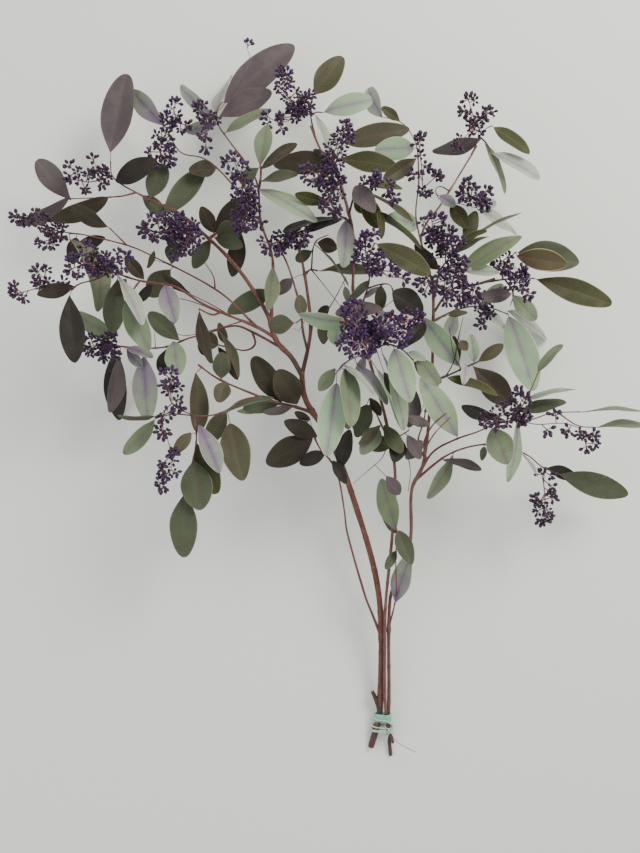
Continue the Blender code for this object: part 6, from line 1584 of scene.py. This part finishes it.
# Vein pattern of a leaf from its plan (centimetres along, centimetres across, 0 at the
# midrib to 1 at the edge): midrib, slanting side veins that end in a line inside the edge,
# a fine net between them, the edge itself, and a height for bumps.
vein = {"spacing": 0.46, "width": 0.7, "slant": 0.85, "wobble": 0.55, "lag": 0.13, "netScale": 4.2,
        "loopAt": 0.885}


def makeVeinGroup():
    tree, given = openGroup("leafVeins", {"Seed": 0.0, "Spacing": vein["spacing"], "Width": vein["width"]})
    along, across, edgewise = partsOf(tree, given["Plan"])
    flat = vectorOf(tree, along, across, timesOf(tree, given["Seed"], 40))
    away = mathOf(tree, "ABSOLUTE", across)
    wobble = timesOf(tree, mathOf(tree, "SUBTRACT", noiseOf(tree, flat, 1.1, 2), 0.5), vein["wobble"])
    slant = mathOf(tree, "SUBTRACT", along, timesOf(tree, away, vein["slant"]))
    half = timesOf(tree, mathOf(tree, "SIGN", across), vein["lag"])
    turn = mathOf(tree, "FRACT", mathOf(tree, "DIVIDE", sumOf(tree, slant, wobble, half), given["Spacing"]))
    width = timesOf(tree, given["Width"], 0.05)
    side = stepOf(tree, farOf(tree, turn, 0.5), width, sumOf(tree, width, 0.09), 1.0, 0.0)
    side = timesOf(tree, side, stepOf(tree, edgewise, 0.80, 0.93, 1.0, 0.0))
    loop = timesOf(tree, peakOf(tree, edgewise, vein["loopAt"], 0.008, 0.03), 0.7)
    veins = mathOf(tree, "MAXIMUM", side, loop)
    reach = timesOf(tree, given["Width"], 0.055)
    midrib = stepOf(tree, away, timesOf(tree, reach, 0.45), reach, 1.0, 0.0)
    inputs = {"Vector": flat, "Scale": vein["netScale"]}
    cells = addNode(tree, "ShaderNodeTexVoronoi", inputs, feature="DISTANCE_TO_EDGE").outputs[0]
    net = stepOf(tree, cells, 0.02, 0.10, 1.0, 0.0)
    cloud = stepOf(tree, noiseOf(tree, flat, 0.55, 4, 0.6), 0.36, 0.66)
    lean = sumOf(tree, away, timesOf(tree, mathOf(tree, "SUBTRACT", turn, 0.5), 0.2))
    return closeGroup(tree, {
        "Midrib": midrib,
        "Veins": veins,
        "Net": net,
        "Rim": stepOf(tree, edgewise, 0.90, 0.975),
        "Cloud": cloud,
        "Speck": stepOf(tree, noiseOf(tree, flat, 2.6, 2, 0.5), 0.70, 0.76),
        "Blush": timesOf(tree, stepOf(tree, lean, 0.05, 0.62, 1.0, 0.0), stepOf(tree, cloud, -0.6, 0.8)),
        "Height": sumOf(tree, timesOf(tree, veins, -0.5), timesOf(tree, net, -0.22),
                        timesOf(tree, midrib, -0.7), timesOf(tree, noiseOf(tree, flat, 16, 2), 0.18)),
    })


# Streaks and rings of bark or a green twig from its plan (across, across, along).
def makeBarkGroup():
    tree, given = openGroup("barkStreaks", {"Seed": 0.0, "Ring gap": 2.6})
    x, y, far = partsOf(tree, given["Plan"])
    along = sumOf(tree, far, timesOf(tree, given["Seed"], 30))
    drawn, round = vectorOf(tree, x, y, timesOf(tree, along, 0.12)), vectorOf(tree, x, y, along)
    streak = stepOf(tree, noiseOf(tree, drawn, 6.5, 4, 0.65), 0.36, 0.66)
    turn = mathOf(tree, "FRACT", mathOf(tree, "DIVIDE", along, given["Ring gap"]))
    ring = peakOf(tree, turn, 0.5, 0.01, 0.045)
    pore = stepOf(tree, noiseOf(tree, round, 7, 1, 0.4), 0.66, 0.74)
    return closeGroup(tree, {
        "Streak": streak,
        "Patch": stepOf(tree, noiseOf(tree, round, 0.5, 4, 0.6), 0.38, 0.64),
        "Ring": ring,
        "Pore": pore,
        "Height": sumOf(tree, timesOf(tree, streak, 0.6), timesOf(tree, pore, 0.5), timesOf(tree, ring, 0.8)),
    })


groups = {"veins": makeVeinGroup(), "bark": makeBarkGroup()}


# A new material's tree, and the piece's own plan and mark.
def newFinish(name, sockets):
    mat = bpy.data.materials.new(name)
    mat.use_nodes = True
    tree = mat.node_tree
    for key, value in sockets.items():
        tree.nodes["Principled BSDF"].inputs[key].default_value = value
    plan = addNode(tree, "ShaderNodeAttribute", attribute_name="plan").outputs["Vector"]
    mark = addNode(tree, "ShaderNodeAttribute", attribute_name="mark").outputs["Vector"]
    return mat, tree, plan, partsOf(tree, mark)


# Joins paint, roughness and bump to the material's own shader.
def closeFinish(mat, tree, paint, rough, height, strength, distance):
    shader = tree.nodes["Principled BSDF"]
    bump = addNode(tree, "ShaderNodeBump", {"Height": height, "Strength": strength, "Distance": distance})
    for label, value in (("Base Color", paint), ("Roughness", rough), ("Normal", bump.outputs[0])):
        tree.links.new(value, shader.inputs[label])
    return mat


# Leaf tones: blade near the base, blade near the tip, cloud, veins, midrib, edge, then how
# strongly the cloud, veins, net, midrib, edge and the blush along the midrib show.
leafTones = {
    "leafHaze": ((160, 174, 144), (180, 194, 162), (158, 150, 160), (146, 136, 152), (132, 100, 142),
                 (204, 212, 180), 0.45, 0.42, 0.2, 0.85, 0.75, 0.5),
    "leafMint": ((138, 166, 118), (156, 184, 136), (146, 152, 142), (128, 128, 132), (124, 90, 132),
                 (192, 208, 164), 0.4, 0.42, 0.22, 0.88, 0.75, 0.5),
    "leafLilac": ((142, 130, 138), (148, 168, 130), (130, 114, 134), (114, 98, 122), (110, 78, 120),
                  (182, 182, 160), 0.45, 0.42, 0.2, 0.88, 0.75, 0.55),
    "leafSage": ((102, 122, 84), (120, 138, 100), (108, 104, 94), (88, 92, 78), (108, 86, 92),
                 (154, 166, 124), 0.5, 0.38, 0.2, 0.75, 0.7, 0.35),
    "leafDeep": ((62, 72, 47), (74, 84, 58), (68, 62, 54), (96, 102, 72), (92, 80, 68),
                 (118, 116, 84), 0.5, 0.34, 0.18, 0.65, 0.6, 0.2),
    "leafKhaki": ((66, 66, 42), (76, 76, 50), (72, 62, 54), (98, 96, 66), (106, 88, 76),
                  (134, 120, 88), 0.5, 0.38, 0.2, 0.7, 0.6, 0.18),
    "leafMauve": ((82, 70, 72), (88, 80, 76), (70, 58, 66), (106, 96, 90), (112, 90, 98),
                  (118, 102, 96), 0.5, 0.25, 0.12, 0.6, 0.4, 0.2),
    # Dark brown, partly painted shade: it also serves leaves that look dark because they lie in shade.
    "leafBrown": ((46, 40, 26), (54, 50, 32), (42, 32, 28), (76, 70, 46), (84, 66, 52),
                  (98, 82, 56), 0.5, 0.3, 0.16, 0.55, 0.45, 0.12),
    # Painted shade: a near-black copy of the leaf, for leaves that lie in shade.
    "leafShadow": ((30, 26, 19), (36, 32, 23), (30, 22, 24), (52, 46, 35), (60, 44, 38),
                   (68, 56, 42), 0.45, 0.28, 0.14, 0.5, 0.4, 0.1),
    # Olive, with painted light in its yellow veins and yellow rim: the glow of a leaf lit from behind.
    "leafOlive": ((48, 50, 26), (60, 64, 32), (50, 42, 30), (88, 92, 46), (102, 98, 54),
                  (140, 132, 68), 0.45, 0.5, 0.25, 0.75, 0.7, 0.12),
    "leafRust": ((62, 48, 34), (72, 60, 38), (62, 68, 38), (96, 78, 50), (104, 80, 62),
                 (186, 158, 112), 0.55, 0.55, 0.3, 0.7, 0.9, 0.12),
}
toneOrder = list(leafTones)
leafPaint = {"speck": (70, 48, 38), "under": (138, 142, 126), "Value": (0.9, 1.1), "Hue": (0.485, 0.515)}


def makeLeafFinish(name):
    base, tip, cloud, vein, rib, edge, cloudy, veiny, netty, ribby, edgy, blushy = leafTones[name]
    sockets = {"Specular IOR Level": 0.32, "Sheen Weight": 0.03, "Sheen Roughness": 0.45}
    mat, tree, plan, (seed, along, below) = newFinish(name, sockets)
    inputs = {"Plan": plan, "Seed": seed}
    got = addNode(tree, "ShaderNodeGroup", inputs, node_tree=groups["veins"]).outputs
    paint = blendOf(tree, stepOf(tree, along, 0.1, 0.9), base, tip)
    foot = stepOf(tree, along, 0.0, 0.22, 1.0, 0.0)
    paint = layersOf(tree, paint, (
        (got["Cloud"], cloudy, cloud), (foot, 0.45, rib), (got["Blush"], blushy, rib),
        (got["Net"], netty, vein), (got["Veins"], veiny, vein), (got["Midrib"], ribby, rib),
        (got["Rim"], edgy, edge), (got["Speck"], 0.3, leafPaint["speck"]), (below, 0.3, leafPaint["under"]),
    ))
    inputs = {"Color": paint}
    for label in ("Hue", "Value"):
        low, high = leafPaint[label]
        ends = {"Value": seed, "To Min": low, "To Max": high}
        inputs[label] = addNode(tree, "ShaderNodeMapRange", ends).outputs[0]
    paint = addNode(tree, "ShaderNodeHueSaturation", inputs).outputs[0]
    rough = stepOf(tree, got["Cloud"], 0.0, 1.0, 0.5, 0.68)
    return closeFinish(mat, tree, paint, rough, got["Height"], 0.5, 0.0006)


# Bark and twig skins: ground, streak, patch, ring, pore colours and roughness.
barkTones = {
    "stemBark": ((104, 58, 50), (72, 40, 38), (138, 90, 64), (56, 34, 32), (156, 122, 102), 0.5, 2.9),
    "stemRose": ((112, 70, 64), (78, 47, 48), (134, 98, 76), (60, 38, 36), (156, 120, 104), 0.48, 2.3),
    "stubBark": ((70, 50, 46), (48, 36, 34), (92, 72, 50), (40, 30, 28), (110, 92, 70), 0.6, 1.0),
    "twigRed": ((112, 58, 54), (78, 40, 42), (124, 80, 62), (62, 34, 34), (142, 104, 88), 0.48, 1.6),
    "twigDark": ((72, 52, 46), (50, 37, 34), (88, 64, 52), (42, 31, 28), (108, 84, 70), 0.52, 1.4),
    "stalkPink": ((104, 58, 76), (72, 40, 58), (112, 74, 84), (60, 36, 48), (132, 100, 110), 0.45, 1.1),
    "stalkPale": ((160, 120, 142), (118, 82, 108), (170, 138, 152), (106, 72, 94), (192, 166, 178),
                  0.45, 1.1),
    "leafStalk": ((118, 74, 74), (92, 54, 62), (122, 98, 76), (84, 54, 54), (144, 112, 96), 0.45, 1.9),
}
footPaint = {"tint": (62, 46, 48), "full": 2.4, "gone": 4.2}  # darker towards the cut foot of the stems


def makeBarkFinish(name):
    ground, streak, patch, ring, pore, rough, gap = barkTones[name]
    mat, tree, plan, marks = newFinish(name, {"Specular IOR Level": 0.4, "Coat Weight": 0.05})
    inputs = {"Plan": plan, "Seed": marks[0], "Ring gap": gap}
    got = addNode(tree, "ShaderNodeGroup", inputs, node_tree=groups["bark"]).outputs
    layers = [(got["Patch"], 0.6, patch), (got["Streak"], 0.7, streak), (got["Ring"], 0.55, ring),
              (got["Pore"], 0.6, pore)]
    if name.startswith("stem"):
        # Darkens the stems towards their cut foot.
        towardsFoot = stepOf(tree, partsOf(tree, plan)[2], footPaint["full"], footPaint["gone"], 1.0, 0.0)
        layers.append((towardsFoot, 0.6, footPaint["tint"]))
    paint = layersOf(tree, colour(*ground), layers)
    rough = stepOf(tree, got["Streak"], 0.0, 1.0, rough - 0.08, rough + 0.12)
    return closeFinish(mat, tree, paint, rough, got["Height"], 0.45, 0.0004)


# Buds: near-black violet with pale patches, partly the bud's own bloom and partly painted
# sheen of light, a lighter scar ring and a cap that a few buds have in cream or orange.
budPaint = {
    "dark": (13, 7, 12), "violet": (46, 22, 73), "bloomSheen": (106, 68, 122), "neck": (116, 66, 86),
    "scar": (136, 108, 132), "cap": (74, 44, 64), "orange": (214, 160, 92), "orangeFrom": 0.991,
    "scarAt": 0.785,
}


def makeBudFinish(name):
    sockets = {"Specular IOR Level": 0.3, "Coat Weight": 0.04, "Coat Roughness": 0.2}
    mat, tree, plan, marks = newFinish(name, sockets)
    seed = marks[0]
    x, y, along = partsOf(tree, plan)
    spot = vectorOf(tree, x, y, sumOf(tree, along, timesOf(tree, seed, 50)))
    # Pale violet patches: the bud's bloom together with painted sheen of light.
    bloomSheen = stepOf(tree, noiseOf(tree, spot, 1.3, 4, 0.6), 0.38, 0.68)
    cap = stepOf(tree, along, 0.78, 0.82)
    ripe = stepOf(tree, seed, 0.4, 0.8)
    skin = blendOf(tree, ripe, budPaint["dark"], budPaint["violet"])
    skin = layersOf(tree, skin, (
        (bloomSheen, 0.36, budPaint["bloomSheen"]),
        (stepOf(tree, along, 0.3, 0.54, 1.0, 0.0), 0.8, budPaint["neck"]),
        (peakOf(tree, along, budPaint["scarAt"], 0.012, 0.035), 0.45, budPaint["scar"]),
        (cap, 0.3, budPaint["cap"]),
        (cap, stepOf(tree, seed, budPaint["orangeFrom"], budPaint["orangeFrom"] + 0.002), budPaint["orange"]),
    ))
    rough = stepOf(tree, bloomSheen, 0.0, 1.0, 0.28, 0.5)
    return closeFinish(mat, tree, skin, rough, noiseOf(tree, spot, 9, 2), 0.25, 0.0003)


cutPaint = {"ground": (206, 178, 132), "ring": (178, 142, 98), "pith": (136, 96, 66), "rings": 9}


def makeCutWoodFinish(name):
    mat, tree, plan, marks = newFinish(name, {"Specular IOR Level": 0.25})
    x, y, along = partsOf(tree, plan)
    inputs = {0: vectorOf(tree, x, y)}
    far = addNode(tree, "ShaderNodeVectorMath", inputs, operation="LENGTH").outputs["Value"]
    rings = mathOf(tree, "FRACT", timesOf(tree, far, cutPaint["rings"]))
    paint = blendOf(tree, stepOf(tree, rings, 0.3, 0.9), cutPaint["ground"], cutPaint["ring"])
    paint = layersOf(tree, paint, [(stepOf(tree, far, 0.04, 0.10, 1.0, 0.0), 1.0, cutPaint["pith"])])
    rough = stepOf(tree, rings, 0.0, 1.0, 0.7, 0.85)
    return closeFinish(mat, tree, paint, rough, noiseOf(tree, plan, 20, 2), 0.4, 0.0003)


# Mint band: creped tape, so fine ridges run round it, paler where they stand up.
bandPaint = {"low": (120, 186, 160), "high": (158, 214, 188), "stain": (104, 160, 142)}


def makeBandFinish(name):
    mat, tree, plan, marks = newFinish(name, {"Specular IOR Level": 0.3, "Sheen Weight": 0.1})
    x, y, along = partsOf(tree, plan)
    crepe = noiseOf(tree, vectorOf(tree, x, y, timesOf(tree, along, 9)), 3.2, 3, 0.6)
    stain = stepOf(tree, noiseOf(tree, plan, 1.4, 3, 0.6), 0.4, 0.7)
    paint = blendOf(tree, stepOf(tree, crepe, 0.35, 0.7), bandPaint["low"], bandPaint["high"])
    paint = layersOf(tree, paint, [(stain, 0.35, bandPaint["stain"])])
    rough = stepOf(tree, crepe, 0.3, 0.7, 0.55, 0.75)
    return closeFinish(mat, tree, paint, rough, crepe, 0.6, 0.0005)


# String: strands that run round the cord at a slant, with pale loose fibres.
stringPaint = {"low": (150, 186, 158), "high": (206, 232, 208), "fibre": (228, 242, 224), "strands": 6,
               "lay": 30}


def makeStringFinish(name):
    mat, tree, plan, marks = newFinish(name, {"Specular IOR Level": 0.2, "Sheen Weight": 0.3})
    x, y, along = partsOf(tree, plan)
    angle = timesOf(tree, mathOf(tree, "ARCTAN2", y, x), stringPaint["strands"])
    lay = mathOf(tree, "SINE", mathOf(tree, "SUBTRACT", angle, timesOf(tree, along, stringPaint["lay"])))
    fibre = noiseOf(tree, plan, 26, 3, 0.7)
    paint = blendOf(tree, stepOf(tree, lay, -0.9, 0.9), stringPaint["low"], stringPaint["high"])
    paint = layersOf(tree, paint, [(stepOf(tree, fibre, 0.45, 0.7), 0.5, stringPaint["fibre"])])
    rough = stepOf(tree, fibre, 0.3, 0.7, 0.7, 0.9)
    return closeFinish(mat, tree, paint, rough, sumOf(tree, lay, fibre), 0.5, 0.0004)


makers = {"bud": makeBudFinish, "cutWood": makeCutWoodFinish, "mintBand": makeBandFinish,
          "stringGreen": makeStringFinish}
makers.update({name: makeLeafFinish for name in leafTones})
makers.update({name: makeBarkFinish for name in barkTones})
finishes = {}


# Makes a finish the first time a piece asks for it.
def finishOf(name):
    if name not in finishes:
        finishes[name] = makers[name](name)
    return finishes[name]


# Sprays: twigs, leaf stalks and blades. Low twigs and those of the left limb are redder.
redLimit = -12.0
redRise = 45.0
leafCount = 0
for node in order:
    rand = random.Random(node)
    foot = sprays[node][3][0][0]
    made = twigsOf(node, "twigRed" if foot[0] < redLimit or foot[1] < redRise else "twigDark", rand)
    for fit, tone in leafFits[node]:
        seed = rand.random()
        made += stalkOf(node, fit, "leafStalk", seed)
        made += bladeOf(fit, toneOrder[tone], seed, rand)
        leafCount += 1
    pieceFrom(node + "_leaves", made, node)
print("sprays", len(order), "leaves", leafCount)

budCount = 0
for node in panicles:
    pieceFrom(node + "_buds", panicleOf(node), node)
    budCount += sum(len(one[5]) for one in bunches[node].values())
print("panicles", len(panicles), "buds", budCount)

stemFinish = {"stem_left": "stemBark", "stem_middle": "stemRose", "stem_right": "stemRose"}
for node in stems:
    pieceFrom(node + "_bark", stemOf(node, stemFinish[node], random.Random(node)), node)
pieceFrom("tie_band_tape", bandOf(), "tie_band")
pieceFrom("tie_string_cord", stringOf(), "tie_string")
print("stems and ties made")

# Pale plain floor, soft light from the upper right, and the camera straight above.
stage = {"floor": 3.0, "colour": (243, 244, 236), "rough": 0.9, "shine": 0.1}
mesh = bpy.data.meshes.new("floor")
far = stage["floor"]
mesh.from_pydata([(-far, -far, 0), (far, -far, 0), (far, far, 0), (-far, far, 0)], [], [(0, 1, 2, 3)])
floor = bpy.data.objects.new("floor", mesh)
bpy.context.scene.collection.objects.link(floor)
mat = bpy.data.materials.new("floorPaint")
mat.use_nodes = True
paint = mat.node_tree.nodes["Principled BSDF"]
paint.inputs["Base Color"].default_value = colour(*stage["colour"])
paint.inputs["Roughness"].default_value = stage["rough"]
paint.inputs["Specular IOR Level"].default_value = stage["shine"]
mesh.materials.append(mat)

# Lights: power, size, tint, place and what they point at.
lights = {
    "keyLight": (42, 1.1, (1.0, 0.97, 0.92), (1.1, 1.2, 1.7), (0, 0.1, 0)),
    "fillLight": (9, 1.6, (0.92, 0.96, 1.0), (-1.4, -0.6, 1.6), (0, 0, 0)),
}
for name, (power, size, tint, at, target) in lights.items():
    lamp = bpy.data.lights.new(name, "AREA")
    lamp.shape = "DISK"
    lamp.energy = power
    lamp.size = size
    lamp.color = tint
    held = bpy.data.objects.new(name, lamp)
    held.location = at
    held.rotation_euler = (Vector(target) - Vector(at)).to_track_quat("-Z", "Y").to_euler()
    bpy.context.scene.collection.objects.link(held)

sky = {"colour": (232, 234, 236), "strength": 0.95}
world = bpy.data.worlds.new("softRoom")
bpy.context.scene.world = world
world.use_nodes = True
world.node_tree.nodes["Background"].inputs["Color"].default_value = colour(*sky["colour"])
world.node_tree.nodes["Background"].inputs["Strength"].default_value = sky["strength"]

# The picture's height is 853 pixels at 7.75 pixels per centimetre on the plane of the stems.
view = {"sensor": 36.0, "pixels": 853, "scale": 7.75}
lens = bpy.data.cameras.new("camera")
lens.sensor_fit = "VERTICAL"
lens.sensor_height = view["sensor"]
lens.lens = view["sensor"] * eye / (view["pixels"] / view["scale"])
camera = bpy.data.objects.new("camera", lens)
camera.location = Vector((centre[0] * cm, centre[1] * cm, eye * cm)) + Vector(shift)
bpy.context.scene.collection.objects.link(camera)
bpy.context.scene.camera = camera
